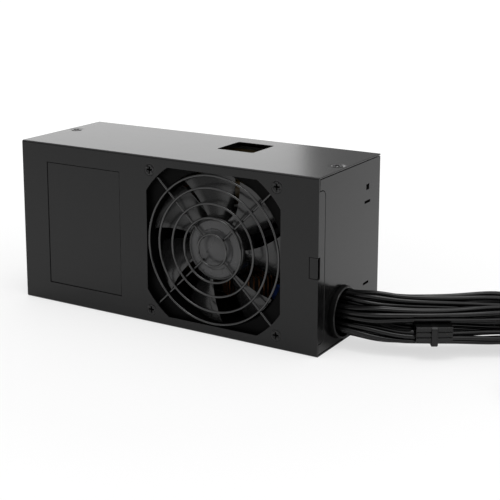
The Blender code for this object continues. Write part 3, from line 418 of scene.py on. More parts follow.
# Each cord's (place, across, height) stations. Across is positive to the left of the line, height is
# above the ground.
LOOM = {
    "main_cable_1": [
        (AT_BUSH, 0.7, 23.4), (AT_BUSH_END, 0.7, 23.4), (AT_VIEW, 0.5, 23.4), (AT_VIEW_END, 0.5, 23.4),
        (AT_DROP, 0.2, 18.9), (AT_FLAT, 0, 11.7), (AT_FLAT_END, 0, 11.7), (AT_RETURN, 0, 10.8),
        (316, 0, 10.8), (333, -1.5, 7.2), (341, -5.0, 5.3), (348, -5.0, 5.3)],
    "main_cable_2": [
        (AT_BUSH, -4.2, 17.5), (AT_BUSH_END, -4.2, 17.5), (AT_VIEW, -5.7, 19.0), (AT_VIEW_END, -5.7, 19.0),
        (AT_DROP, -4.8, 13.0), (AT_FLAT, -3.95, 5.1), (AT_FLAT_END, -3.95, 5.1), (AT_RETURN, -3.95, 4.2),
        (312, -3.95, 4.2), (333, -15.5, 4.8), (341, -21.9, 5.3), (348, -21.9, 5.3)],
    "main_cable_3": [
        (AT_BUSH, 5.0, 17.1), (AT_BUSH_END, 5.0, 17.1), (AT_VIEW, 0.9, 12.9), (AT_VIEW_END, 0.9, 12.9),
        (AT_DROP, 3.5, 11.0), (AT_FLAT, 3.95, 5.1), (AT_FLAT_END, 3.95, 5.1), (AT_RETURN, 3.95, 4.2),
        (312, 3.95, 4.2), (333, 8.5, 4.8), (341, 11.9, 5.3), (348, 11.9, 5.3)],
    "drive_cable_1": [
        (AT_BUSH, -5.4, 10.6), (AT_BUSH_END, -5.4, 10.6), (AT_VIEW, -7.2, 8.9), (AT_VIEW_END, -7.2, 8.9),
        (AT_DROP, -9.5, 5.0), (AT_FLAT, -10.9, 4.4), (AT_FLAT_END, -10.9, 4.4), (268, -10.9, 4.0),
        (287, -9.8, 10.5), (306, -5.0, 17.7), (314, -5.0, 17.7)],
    "drive_cable_2": [
        (AT_BUSH, 0.7, 7.3), (AT_BUSH_END, 0.7, 7.3), (AT_VIEW, 2.8, 5.3), (AT_VIEW_END, 2.8, 5.3),
        (AT_DROP, 9.0, 4.0), (AT_FLAT, 10.9, 4.4), (AT_FLAT_END, 10.9, 4.4), (258, 11.4, 4.2),
        (272, 14.8, 8.2), (282, 16.4, 10.9), (290, 16.4, 10.9)],
    "cpu_cable": [
        (AT_BUSH, 6.2, 10.3), (AT_BUSH_END, 6.2, 10.3), (AT_VIEW, 10.8, 12.3), (AT_VIEW_END, 10.8, 12.3),
        (AT_DROP, 10.2, 11.8), (AT_FLAT, 9.2, 10.5), (AT_FLAT_END, 9.2, 10.5), (250, 8.0, 14.0),
        (270, 4.6, 19.0), (281, 4.0, 19.6), (289, 4.0, 19.6)],
}


def loom_line():
    """Points a millimetre or so apart along the loom's line, with the distance to each."""
    points = []
    ends = [LOOM_LINE[0]] + LOOM_LINE + [(FOLD_X, LOOM_LINE[-1][1])]
    for k in range(1, len(LOOM_LINE)):
        a, b, c, d = (Vector(p) for p in ends[k - 1 : k + 3])
        for i in range(12):
            t = i / 12
            bend, twist = 2 * a - 5 * b + 4 * c - d, 3 * b - a - 3 * c + d
            points.append(0.5 * (2 * b + (c - a) * t + bend * t * t + twist * t**3))
    centre = Vector((FOLD_X, LOOM_LINE[-1][1] - FOLD_R))
    points += [Vector((x, LOOM_LINE[-1][1])) for x in range(LOOM_LINE[-1][0], FOLD_X, 2)]
    points += [
        centre + FOLD_R * Vector((math.sin(t), math.cos(t)))
        for t in (math.pi * i / 60 for i in range(61))
    ]
    points += [Vector((x, centre.y - FOLD_R)) for x in range(FOLD_X - 2, RETURN_END - 1, -2)]
    run = [0.0]
    for a, b in zip(points, points[1:]):
        run.append(run[-1] + (b - a).length)
    return points, run


LINE, LINE_RUN = loom_line()


def on_line(place):
    """Point and heading of the loom's line at a distance from its start."""
    k = max(i for i in range(len(LINE) - 1) if LINE_RUN[i] <= place)
    share = (place - LINE_RUN[k]) / (LINE_RUN[k + 1] - LINE_RUN[k])
    before, after = LINE[max(k - 1, 0)], LINE[min(k + 2, len(LINE) - 1)]
    return LINE[k].lerp(LINE[k + 1], share), (after - before).normalized()


def cord_point(stations, place):
    """Where a cord lies at a distance along the loom's line, in metres, and the loom's left side there."""
    for (p0, a0, h0), (p1, a1, h1) in zip(stations, stations[1:]):
        if place <= p1:
            break
    t = min(max((place - p0) / (p1 - p0), 0), 1)
    t = t * t * (3 - 2 * t)
    across, height = a0 + (a1 - a0) * t, h0 + (h1 - h0) * t
    spot, heading = on_line(place)
    left = Vector((-heading.y, heading.x, 0))
    return Vector((spot.x, spot.y, height)) * MM + left * (across * MM), left


WIRE_R = 1.1 * MM
STRAND_STEP = 2.5  # between a wire's rings, in millimetres
LEADS = 24  # the stretch before a plug where its wires part into rows, in millimetres
PLUG_RUN = 7  # the last stretch of it, square into the plug
# Where the wires stand further apart: (middle, half width, share more), the first two in millimetres.
LOOSENED = (25, 9, 0.38), (78, 14, 0.44)


def wire_layout(count):
    """Places of a cord's wires across it: one in the middle if they are many, and the rest in a ring."""
    middle = 1 if count > 6 else 0
    ring = count - middle
    ring_r = {7: 2.53, 5: 1.87, 4: 1.72}[ring] * MM
    return [(0.0, 0.0)] * middle + regular(0, 0, ring_r, ring, 0.4)


def plug_rows(spots, columns, pitch):
    """Where each wire goes in the plug's rows, so that no two of them cross."""
    order = sorted(range(len(spots)), key=lambda k: spots[k][1])
    rows = len(order) // columns
    found = {}
    for r in range(rows):
        for c, k in enumerate(sorted(order[r * columns : (r + 1) * columns], key=lambda k: spots[k][0])):
            found[k] = ((c - (columns - 1) / 2) * pitch * MM, (r - (rows - 1) / 2) * pitch * MM)
    return found


def turned_by(spot, angle):
    """A point turned about the origin."""
    a, b = spot
    return a * math.cos(angle) - b * math.sin(angle), a * math.sin(angle) + b * math.cos(angle)


def make_cord(name, wires, radius, turn, columns, pitch, far_end_pieces, *nodes):
    """A cord of loose wires that lie side by side and slowly wind round each other."""
    stations = LOOM[name]
    end = stations[-1][0]
    count = round(end / STRAND_STEP)
    places = [end * i / count for i in range(count + 1)]
    layout = wire_layout(wires)
    phase = len(name) * 0.7 + radius * 900  # so that cords don't all wind alike
    last_angle = phase + turn * end
    rows = plug_rows([turned_by(spot, last_angle) for spot in layout], columns, pitch)
    lines = [[] for _ in layout]
    for place in places:
        centre, left = cord_point(stations, place)
        parting = min(max((place - (end - LEADS)) / (LEADS - PLUG_RUN), 0), 1)
        parting = parting * parting * (3 - 2 * parting)
        wander = 0.25 * math.sin(place / 31 + phase) * (1 - parting)
        slack = 1
        for middle, wide, more in LOOSENED:
            slack += more * math.exp(-(((place - middle) / wide) ** 2))
        for k, spot in enumerate(layout):
            a, b = (slack * c for c in turned_by(spot, phase + turn * place + wander))
            a, b = a + (rows[k][0] - a) * parting, b + (rows[k][1] - b) * parting
            lines[k].append(centre + left * a + Vector((0, 0, b)))
    bm = bmesh.new()
    for line in lines:
        sweep(bm, line, WIRE_R, 10)
    cord = piece(add(name + "_wires", bm, PVC, 80), "case", name, *nodes)


# ---------------------------------------------------------------- case: cover and base
SHEET, GAP, BEND = mm(0.8, 0.3, 1.0)
PAST = 1 * MM  # how far a cutter runs past the face that it cuts
LOW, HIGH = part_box("cover_shell")
X_END, Y_FRONT, Y_BACK, HEIGHT = HIGH.x, LOW.y, HIGH.y, HIGH.z
FAN_LOW, FAN_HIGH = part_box("fan_frame")
FAN_X, FAN_Z = (FAN_LOW.x + FAN_HIGH.x) / 2, (FAN_LOW.z + FAN_HIGH.z) / 2
FAN_AXIS = (FAN_X, FAN_Z)
FAN_PITCH = 71.5 * MM  # between the fan's screw holes
OPENING_HALF, OPENING_R = mm(37.9, 45.5)
FLANGE_WIDE, FLANGE_Z = 6.3 * MM, mm(6.1, 78.4)
LABEL_X, LABEL_Z = mm(-71.2, -24.5), mm(10.4, 75.1)
RIM_WIDE, RIM_DEEP = mm(0.3, 0.5)  # the dark line round the label's field: a groove with painted shade in it
SLOT_X, SLOT_Y = mm(12.1, 33.1), mm(0.6, 21.9)
NOTCH_X, NOTCH_Z = mm(82.8, 89), mm(37.44, 47.66)
CASE_SCREWS = [(x * MM, y * MM, up) for up in (1, -1) for x, y in ((82.2, -4.4), (-82.2, 5.6))]
HEAD_R, HEAD_UNDER_R, SHANK_R = mm(2.85, 1.9, 1.45)
# One arm of a screw's cross recess, from a corner to the other, and how much it narrows to its end.
ARM_LOW, ARM_HIGH, ARM_NARROWS = mm(-2.1, -0.42, -1.5), mm(2.1, 0.42, 1), 0.45


def grown(ends, by):
    return ends[0] - by, ends[1] + by


def fan_corners():
    half = FAN_PITCH / 2
    return [(FAN_X + a * half, FAN_Z + b * half) for a, b in ((-1, -1), (1, -1), (1, 1), (-1, 1))]


def u_profile():
    """A U of sheet seen along X, in (Y, Z), open at the back, with round folds at the front."""
    folds = 8
    outer, inner = [(Y_BACK, HEIGHT)], [(Y_BACK, HEIGHT - SHEET)]
    centre, inside = (Y_FRONT + BEND, HEIGHT - BEND), BEND - SHEET
    for i in range(folds + 1):
        t = math.radians(90 + 90 * i / folds)
        outer.append((centre[0] + BEND * math.cos(t), centre[1] + BEND * math.sin(t)))
        inner.append((centre[0] + inside * math.cos(t), centre[1] + inside * math.sin(t)))
    lower = [(y, HEIGHT - z) for y, z in reversed(outer)]
    inside_lower = [(y, HEIGHT - z) for y, z in inner]
    return outer + lower + inside_lower + list(reversed(inner))


def fan_opening():
    """Outline of the opening in front of the fan: a square with corners rounded about the fan's axis."""
    corner = math.acos(OPENING_HALF / OPENING_R)
    outline = []
    for quarter in range(4):
        start, end = quarter * math.pi / 2 + corner, (quarter + 1) * math.pi / 2 - corner
        for i in range(13):
            t = start + (end - start) * i / 12
            outline.append((FAN_X + OPENING_R * math.cos(t), FAN_Z + OPENING_R * math.sin(t)))
    return outline


def sink(name, axis, centre, face, inward, dish):
    """Cutter for a screw's countersunk head, with a shallow dish pressed round it."""
    dish_r, dish_deep, past = HEAD_R + dish, 0.11 * dish, 0.5 * MM
    profile = [
        (0, face - inward * past), (dish_r, face - inward * past), (dish_r, face),
        (HEAD_R + 0.12 * MM, face + inward * dish_deep), (HEAD_UNDER_R + GAP, face + inward * SHEET),
        (HEAD_UNDER_R + GAP, face + inward * (SHEET + past)), (0, face + inward * (SHEET + past)),
    ]
    return turned(name, profile, axis, centre, COAT, 40)


def make_cover():
    cover = prism("cover", u_profile(), "X", -X_END, X_END, COAT)
    for side in (-1, 1):
        outline = rounded(Y_FRONT - 2 * MM, Y_FRONT + FLANGE_WIDE, *FLANGE_Z, 3 * MM)
        flange = prism("flange", outline, "X", *span(side * X_END, side * (X_END - SHEET)), COAT)
        cut(flange, box("trim", (-1, -1, -1), (1, Y_FRONT + SHEET / 2, 1), COAT))
        join(cover, flange)
    label = box(
        "label", (LABEL_X[0], Y_FRONT - PAST, LABEL_Z[0]), (LABEL_X[1], Y_FRONT + GAP, LABEL_Z[1]), COAT
    )
    outside = rounded(*LABEL_X, *LABEL_Z, 0.4 * MM, 2)
    inside = rounded(*grown(LABEL_X, -RIM_WIDE), *grown(LABEL_Z, -RIM_WIDE), 0.3 * MM, 2)
    # The groove round the label's field takes the dark matte finish, a painted shade that draws its dark
    # line.
    groove = cut(
        prism("rim", outside, "Y", Y_FRONT - PAST, Y_FRONT + RIM_DEEP, PAINTED_SHADE),
        prism("kept", inside, "Y", Y_FRONT - 2 * PAST, Y_FRONT + PAST, PAINTED_SHADE),
    )
    notch = box(
        "notch", (NOTCH_X[0], Y_FRONT - PAST, NOTCH_Z[0]), (NOTCH_X[1], Y_FRONT + 1.9 * MM, NOTCH_Z[1]), COAT
    )
    cut(
        cover,
        prism("opening", fan_opening(), "Y", Y_FRONT - PAST, Y_FRONT + 2 * MM, COAT),
        prism("slot", rounded(*SLOT_X, *SLOT_Y, 1 * MM), "Z", HEIGHT - 2 * MM, HEIGHT + PAST, COAT),
        label,
        groove,
        notch,
        *(sink(f"fan_sink_{i}", "Y", spot, Y_FRONT, 1, 0.9 * MM) for i, spot in enumerate(fan_corners())),
    )
    for i, (x, y, up) in enumerate(CASE_SCREWS):
        cut(cover, sink(f"case_sink_{i}", "Z", (x, y), HEIGHT if up > 0 else 0, -up, 2.2 * MM))
    piece(soften(cover, 0.12), "case", "cover_shell")


def make_screw(node, axis, centre, face, inward):
    """Countersunk screw with a cross recess that narrows inwards."""
    low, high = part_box(node)
    k = {"Y": 1, "Z": 2}[axis]
    length = high[k] - low[k]
    top = face + inward * 0.08 * MM
    profile = [
        (0, top), (HEAD_R - 0.2 * MM, top), (HEAD_R, face + inward * 0.2 * MM),
        (HEAD_UNDER_R, face + inward * SHEET), (SHANK_R, face + inward * (SHEET + 0.3 * MM)),
        (SHANK_R, face + inward * (length - 0.6 * MM)), (SHANK_R * 0.6, face + inward * length),
        (0, face + inward * length),
    ]
    made = turned(node + "_fine", profile, axis, centre, SCREW_BLACK, 40)
    for turn in (0, 90):
        # The cross's faces take the dark matte finish: painted shade in the recess.
        arm = box("arm", ARM_LOW, ARM_HIGH, PAINTED_SHADE)
        for v in arm.data.vertices:
            if v.co.z < 0:
                v.co.x *= ARM_NARROWS
        facing = Matrix.Rotation(math.radians(turn), 4, "Z")
        if axis == "Y":
            facing = Matrix.Rotation(math.radians(90), 4, "X") @ facing
            where = (centre[0], face, centre[1])
        else:
            facing = Matrix.Diagonal((1, 1, -inward, 1)) @ facing
            where = (*centre, face)
        arm.data.transform(Matrix.Translation(where) @ facing)
        if facing.determinant() < 0:
            arm.data.flip_normals()
        cut(made, arm)
    piece(made, "case", node)


def make_case():
    make_cover()
    fine("base_shell", COAT, width=0.15)
    tongue = box(
        "tongue_face", (NOTCH_X[0] + 0.12 * MM, Y_FRONT + 0.12 * MM, NOTCH_Z[0] + 0.08 * MM),
        (X_END - 0.45 * MM, Y_FRONT + SHEET, NOTCH_Z[1] - 0.08 * MM), COAT,
    )
    piece(soften(tongue, 0.25, 3), "case")
    for i, (x, y, up) in enumerate(CASE_SCREWS):
        make_screw(f"case_screw_{i + 1}", "Z", (x, y), HEIGHT if up > 0 else 0, -up)
    for i, spot in enumerate(fan_corners()):
        make_screw(f"fan_screw_{i + 1}", "Y", spot, Y_FRONT, 1)


# ---------------------------------------------------------------- fan and its grille
BLADES, BLADE_TIP = 7, 36.9 * MM
# The first blade's angle at its tip, the angle that a blade spans there, and how far it is swept.
BLADE_FIRST, BLADE_SPAN, BLADE_SWEEP = (math.radians(a) for a in (152.5, 39, 10))
HUB_R, HUB_DEEP = mm(16, 11)
HUB_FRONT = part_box("fan_rotor")[0].y
GRILLE_RINGS = mm(8, 16, 23, 30.7, 36.8)
GRILLE_WIRE = 1.15 * MM


def make_blade(first):
    """One swept blade, cambered and thinner towards its tip, from inside the hub's wall outwards."""
    across, out = 12, 12
    front, back = HUB_FRONT + 1.2 * MM, HUB_FRONT + HUB_DEEP - 0.6 * MM
    bm = bmesh.new()
    grids = []
    for face in (0, 1):
        grid = []
        for j in range(out + 1):
            share = j / out
            radius = HUB_R - 0.8 * MM + (BLADE_TIP - HUB_R + 0.8 * MM) * share
            spread = BLADE_SPAN * (0.82 + 0.18 * share)
            middle = first + BLADE_SWEEP * (share - 1)
            thick = (1.35 - 0.3 * share) * MM
            row = []
            for i in range(across + 1):
                u = i / across
                t = middle + spread * (0.5 - u)
                belly = 1.1 * MM * math.sin(math.pi * u)
                edge = 0.3 + 0.7 * min(1, 6 * u, 6 * (1 - u))
                y = max(front + (back - front - thick) * u - belly, front)
                y += thick * (0.5 + (face - 0.5) * edge)
                row.append(bm.verts.new((FAN_X + radius * math.cos(t), y, FAN_Z + radius * math.sin(t))))
            grid.append(row)
        grids.append(grid)
    top, low = grids
    for j in range(out):
        for i in range(across):
            bm.faces.new((top[j][i], top[j][i + 1], top[j + 1][i + 1], top[j + 1][i]))
            bm.faces.new((low[j][i], low[j + 1][i], low[j + 1][i + 1], low[j][i + 1]))
    rim = [(0, i) for i in range(across)] + [(j, across) for j in range(out)]
    rim += [(out, i) for i in range(across, 0, -1)] + [(j, 0) for j in range(out, 0, -1)]
    for k, (j, i) in enumerate(rim):
        j2, i2 = rim[(k + 1) % len(rim)]
        bm.faces.new((top[j][i], low[j][i], low[j2][i2], top[j2][i2]))
    return add("blade", bm, PLASTIC)


def make_rotor():
    wall = 1.2 * MM
    back = HUB_FRONT + HUB_DEEP
    round_start = HUB_R - 2 * MM
    sunk, groove = HUB_FRONT + 0.15 * MM, HUB_FRONT + 0.5 * MM
    profile = [
        (0, sunk), (8.2 * MM, sunk), (8.9 * MM, groove), (9.7 * MM, groove), (10.4 * MM, HUB_FRONT),
        (round_start, HUB_FRONT),
    ]
    profile += [
        (round_start + 2 * MM * math.sin(t), HUB_FRONT + 2 * MM * (1 - math.cos(t)))
        for t in (math.radians(15 * i) for i in range(1, 7))
    ]
    profile += [
        (HUB_R, back - 0.2 * MM), (HUB_R - 0.2 * MM, back), (HUB_R - wall, back),
        (HUB_R - wall, HUB_FRONT + 1.6 * MM), (0, HUB_FRONT + 1.6 * MM),
    ]
    rotor = turned("rotor", profile, "Y", FAN_AXIS, PLASTIC, 98)
    join(rotor, *(make_blade(BLADE_FIRST + 2 * math.pi * k / BLADES) for k in range(BLADES)))
    rotor.data.materials.append(HUB_CAP)  # the middle of the cap is paler than the blades
    for face in rotor.data.polygons:
        out = math.hypot(face.center.x - FAN_X, face.center.z - FAN_Z)
        if out < round_start and face.center.y < HUB_FRONT + 0.6 * MM:
            face.material_index = len(rotor.data.materials) - 1
    rotor.data.shade_smooth()
    rotor.data.set_sharp_from_angle(angle=math.radians(32))
    piece(rotor, "fan", "fan_rotor")


def make_grille():
    """Rings of wire in the opening, on four spokes that run under the sheet to the fan's screws."""
    wire = GRILLE_WIRE / 2
    ring_y, spoke_y = Y_FRONT + 0.75 * MM, Y_FRONT + 1.9 * MM
    bm = bmesh.new()
    for radius in GRILLE_RINGS:
        profile = [(radius + a, b) for a, b in regular(0, ring_y, wire, 12)]
        spin(bm, profile, "Y", FAN_AXIS, 96)
    eye = FAN_PITCH / math.sqrt(2)
    for t in (math.radians(a) for a in (45, 135, 225, 315)):
        heading = Vector((math.cos(t), 0, math.sin(t)))
        start = Vector((FAN_X, spoke_y, FAN_Z)) + heading * (GRILLE_RINGS[0] - 0.6 * MM)
        end = Vector((FAN_X, spoke_y, FAN_Z)) + heading * (eye - 2.6 * MM)
        sweep(bm, [start.lerp(end, i / 12) for i in range(13)], wire, 12)
        centre = (FAN_X + eye * math.cos(t), FAN_Z + eye * math.sin(t))
        profile = [(2.9 * MM + a, b) for a, b in regular(0, spoke_y, wire, 12)]
        spin(bm, profile, "Y", centre, 32)
    piece(add("grille", bm, BLACK_STEEL), "case", "fan_grille")


def make_fan():
    fine("fan_frame", SHADED_FRAME_PLASTIC, width=0.25)
    make_rotor()
    make_grille()
    fine("fan_stator", SHADED_COPPER)
    fine("fan_bearing", BRASS)
    for node, look in (("fan_shaft", STEEL), ("fan_magnet", FERRITE)):
        fine(node, look, "fan")


# ---------------------------------------------------------------- bushing, connectors and tie
BUSH_LOW, BUSH_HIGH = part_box("cable_bushing")
BUSH_AXIS = ((BUSH_LOW.y + BUSH_HIGH.y) / 2, (BUSH_LOW.z + BUSH_HIGH.z) / 2)
BUSH_R, BUSH_BORE = mm(12.6, 11.6)


def arc(centre, radius, start, end, steps):
    """Points (radius, place) along an arc in a turned profile, with angles in degrees."""
    turns = [math.radians(start + (end - start) * i / steps) for i in range(steps + 1)]
    return [(centre[0] + radius * math.cos(t), centre[1] + radius * math.sin(t)) for t in turns]


def make_bushing():
    """Snap bushing: a rounded lip outside the sheet, a neck through it and a barb behind it."""
    neck, inner = BUSH_BORE + 0.6 * MM, X_END - SHEET - GAP
    barb, lip = neck + 0.7 * MM, 0.5 * MM
    mouth = BUSH_HIGH.x - lip
    profile = [
        (BUSH_BORE, BUSH_LOW.x), (barb - 0.3 * MM, BUSH_LOW.x), (barb, inner - 0.5 * MM), (barb, inner),
        (neck, inner), (neck, X_END + GAP), (BUSH_R, X_END + GAP),
    ]
    profile += arc((BUSH_R - lip, mouth), lip, 0, 180, 10)[:-1]
    profile += [(BUSH_BORE + 0.1 * MM, mouth), (BUSH_BORE, mouth - 0.6 * MM)]
    bushing = turned("bushing", profile, "X", BUSH_AXIS, NYLON, 96)
    # The faces behind the lip take the darker nylon: painted shade on the bushing's wall.
    bushing.data.materials.append(SHADED_NYLON)
    for face in bushing.data.polygons:
        if face.center.x < mouth - 0.1 * MM:
            face.material_index = 1
    piece(bushing, "case", "cable_bushing")


def on_loom(made, place, across):
    """Places an object made along +X at its own origin onto the loom's line."""
    spot, heading = on_line(place)
    turn = Matrix.Rotation(math.atan2(heading.y, heading.x), 4, "Z")
    where = Matrix.Translation(Vector((spot.x - heading.y * across, spot.y + heading.x * across, 0)) * MM)
    made.data.transform(where @ turn)
    return made


INLINE_START, INLINE_END = 41.0, 58.0  # the in-line connector's place on the loom's line
INLINE_ACROSS, INLINE_WIDE, INLINE_LOW, TIER = -8.3, 9.8, 8.3, 2.5


def make_inline_connector():
    """Three-tier connector on the drive cable, with a clip band round its middle and a foot under it."""
    long, half = (INLINE_END - INLINE_START) / 2, INLINE_WIDE / 2
    top = INLINE_LOW + 3 * TIER
    body = box("inline_tiers", mm(-long, -half, INLINE_LOW), mm(long, half, top), NYLON)
    tools = []
    for k in (1, 2):
        z = INLINE_LOW + k * TIER
        for side in (-1, 1):
            low, high = span(side * (half - 0.5), side * (half + 1))
            tools.append(box("groove", mm(-20, low, z - 0.25), mm(20, high, z + 0.25), NYLON))
    for k in range(3):
        z = INLINE_LOW + (k + 0.5) * TIER
        for end in (-1, 1):
            mouth = rounded(*mm(-half + 1.1, half - 1.1, z - 0.95, z + 0.95, 0.4), 3)
            tools.append(prism("mouth", mouth, "X", *mm(*span(end * (long - 2.5), end * (long + 1))), NYLON))
    cut(body, *tools)
    soften(body, 0.3)
    outline = rounded(*mm(-half - 0.9, half + 0.4, INLINE_LOW - 1.8, top + 0.2, 1.6), 8)
    inner = rounded(*mm(-half - 0.1, half - 0.3, INLINE_LOW - 1.0, top - 0.5, 0.8), 4)
    band = prism("inline_band", outline, "X", *mm(-1.5, 1.5), NYLON)
    cut(band, prism("band_inside", inner, "X", *mm(-3, 3), NYLON))
    soften(band, 0.35, 3)
    middle = (INLINE_START + INLINE_END) / 2
    piece(on_loom(body, middle, INLINE_ACROSS), "case", "inline_connector")
    piece(on_loom(band, middle, INLINE_ACROSS), "case")
    return [body, band]


def make_terminals(name, node, columns, rows, pitch, size):
    """Sprung metal sleeves in a plug's open cells, seen from its front."""
    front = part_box(node)[0].x
    across, height = PLUG_MIDDLES[node]
    bm = bmesh.new()
    for c in range(columns):
        for r in range(rows):
            y = across + (c - (columns - 1) / 2) * pitch * MM
            z = height + (r - (rows - 1) / 2) * pitch * MM
            inner, outer = (size - 0.25) * MM / math.sqrt(2), size * MM / math.sqrt(2)
            start, end = front + 1.2 * MM, front + 6.6 * MM
            profile = [(inner, start), (outer, start), (outer, end), (inner, end)]
            spin_square(bm, profile, (y, z))
    return piece(add(name, bm, BRASS, 30), "case")


def spin_square(bm, profile, centre):
    """A square sleeve along X: a profile of (half diagonal, place) points turned in four steps."""
    rings = []
    for radius, place in profile:
        rings.append([bm.verts.new((place, y, z)) for y, z in regular(*centre, radius, 4, math.pi / 4)])
    for k, first in enumerate(rings):
        second = rings[(k + 1) % len(rings)]
        for i in range(4):
            bm.faces.new((first[i], first[(i + 1) % 4], second[(i + 1) % 4], second[i]))


RETURN_Y = (LOOM_LINE[-1][1] - 2 * FOLD_R) * MM  # the returning run's line
PLUG_MIDDLES = {  # each plug's middle across and above the ground
    "main_plug_20": (RETURN_Y + 9.5 * MM, 5.3 * MM),
    "main_plug_4": (RETURN_Y - 15.9 * MM, 5.3 * MM),
    "cpu_plug": (RETURN_Y - 4.0 * MM, 19.6 * MM),
    "drive_plug": (RETURN_Y - 16.4 * MM, 10.9 * MM),
}


def make_plugs():
    """The plugs with softened edges, and the terminals in their cells."""
    found = {}
    for node in ("main_plug_20", "main_plug_4", "cpu_plug", "drive_plug", "sata_plug"):
        found[node] = [fine(node, NYLON, width=0.25)]
    for node, columns, rows, pitch, size in (
        ("main_plug_20", 10, 2, 4.2, 2.6), ("main_plug_4", 2, 2, 4.2, 2.6),
        ("cpu_plug", 2, 2, 4.2, 2.6), ("drive_plug", 1, 4, 5.0, 2.9),
    ):
        found[node].append(make_terminals(node + "_terminals", node, columns, rows, pitch, size))
    return found


make_bushing()
PLUGS = make_plugs()
INLINE = make_inline_connector()
TIE = fine("cable_tie", NYLON, width=0.25)
MAIN_R, DRIVE_R, CPU_R = mm(3.63, 2.97, 2.66)
make_cord("main_cable_1", 8, MAIN_R, 0.011, 4, 3.3, [*PLUGS["main_plug_20"], TIE])
make_cord("main_cable_2", 8, MAIN_R, -0.009, 4, 3.3, PLUGS["main_plug_20"])
make_cord("main_cable_3", 8, MAIN_R, 0.013, 4, 3.3, PLUGS["main_plug_4"])
make_cord("drive_cable_1", 5, DRIVE_R, 0.010, 5, 2.2, [*PLUGS["sata_plug"], *INLINE], "drive_cable_1_end")
make_cord("drive_cable_2", 4, DRIVE_R, -0.012, 1, 2.6, PLUGS["drive_plug"])
make_cord("cpu_cable", 4, CPU_R, 0.014, 2, 4.2, PLUGS["cpu_plug"])

make_case()
make_fan()


# ---------------------------------------------------------------- mains end
def make_rocker_marks(rocker):
    """The usual bar and ring, printed on the rocker's two halves."""
    low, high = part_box("switch_rocker")
    y, z = (low.y + high.y) / 2, (low.z + high.z) / 2
    ring_z, bar_z = z - 4 * MM, z + 4 * MM
    ring = prism("rocker_ring", regular(y, ring_z, 1.5 * MM, 32), "X", 0, MM, PRINT)
    cut(ring, prism("ring_inside", regular(y, ring_z, 1.08 * MM, 32), "X", -MM, 2 * MM, PRINT))
    outline = rounded(y - 0.22 * MM, y + 0.22 * MM, bar_z - 1.4 * MM, bar_z + 1.4 * MM, 0.1 * MM, 2)
    bpy.context.view_layer.update()
    for mark in (ring, prism("rocker_bar", outline, "X", 0, MM, PRINT)):
        for v in mark.data.vertices:
            hit, place, _, _ = rocker.ray_cast(Vector((-0.2, v.co.y, v.co.z)), Vector((1, 0, 0)))
            if hit:
                v.co.x = place.x + (-0.03 if v.co.x < MM / 2 else 0.08) * MM
        piece(mark, "rocker")


def make_mains_end():
    fine("ac_inlet", PLASTIC, width=0.3, segments=3)
    fine("switch_housing", PLASTIC, width=0.25)
    make_rocker_marks(fine("switch_rocker", PLASTIC, "rocker", width=0.35, segments=3))
    for pin in ("earth", "live", "neutral"):
        fine(f"inlet_pin_{pin}", STEEL, width=0.3)


# ---------------------------------------------------------------- board and what it carries
def make_wound_ring(node, axis, centre, middle, inner, outer, thick, turns):
    """A toroid choke: a ring core with loops of thick wire round its section."""
    wire = 0.55 * MM
    half = thick / 2
    bm = bmesh.new()
    inset = 2 * wire
    core = rounded(inner + inset, outer - inset, middle - half + inset, middle + half - inset, 0.9 * MM, 3)
    spin(bm, core, axis, centre, 64)
    core_faces = len(bm.faces)
    section = rounded(inner + wire, outer - wire, middle - half + wire, middle + half - wire, 1.7 * MM, 3)
    for k in range(turns):
        t = 2 * math.pi * (k + 0.5) / turns
        loop = [along(axis, centre[0] + r * math.cos(t), centre[1] + r * math.sin(t), p) for r, p in section]
        sweep(bm, loop, wire, 8, True)
    made = add(node + "_wound", bm, SHADED_COPPER)
    made.data.materials.append(FERRITE)
    for face in made.data.polygons[:core_faces]:
        face.material_index = 1
    piece(made, "case", node)


def make_inside():
    for node, look, width in (
        ("main_board", LAMINATE, 0.1), ("insulation_sheet", FILM, 0.08),
        ("heatsink_primary", ALUMINIUM, 0.15), ("heatsink_secondary", ALUMINIUM, 0.15),
        ("power_transistor", PLASTIC, 0.3), ("bridge_rectifier", PLASTIC, 0.4),
        ("transformer_core", FERRITE, 0.5), ("transformer_winding", SHADED_TAPE, 0.4),
        ("standby_transformer", SHADED_TAPE, 0.6), ("bulk_capacitor", SLEEVE, 0.3),
        ("output_capacitor_1", SHADED_BLUE, 0.2), ("output_capacitor_2", SLEEVE, 0.2),
        ("x_capacitor", SHADED_TAPE, 0.6), ("y_capacitor", SHADED_BLUE, 0.6), ("fuse", STEEL, 0.3),
        *((f"board_screw_{i}", STEEL, 0.15) for i in range(1, 5)),
    ):
        fine(node, look, width=width)
    make_wound_ring("pfc_choke", "Y", mm(-26, 50), *mm(16.5, 5, 12, 13), 26)
    make_wound_ring("output_choke", "Z", mm(26, 10), *mm(15.5, 6, 14.4, 12), 32)
    make_wound_ring("emi_choke", "Z", mm(-62, 12), *mm(26, 5, 12, 11), 24)


make_mains_end()
make_inside()


# ---------------------------------------------------------------- floor, light and sky
FLOOR_LIT, FLOOR_SEEN = 0.8, 0.3  # its shade to other rays and to the camera's
FLOOR_GLOW_AND_SHADE = (0.15, 0.62), (0.6, 0.79)  # (distance in metres, strength) of its glow, near and far; the weaker glow near the object is a painted shade round it
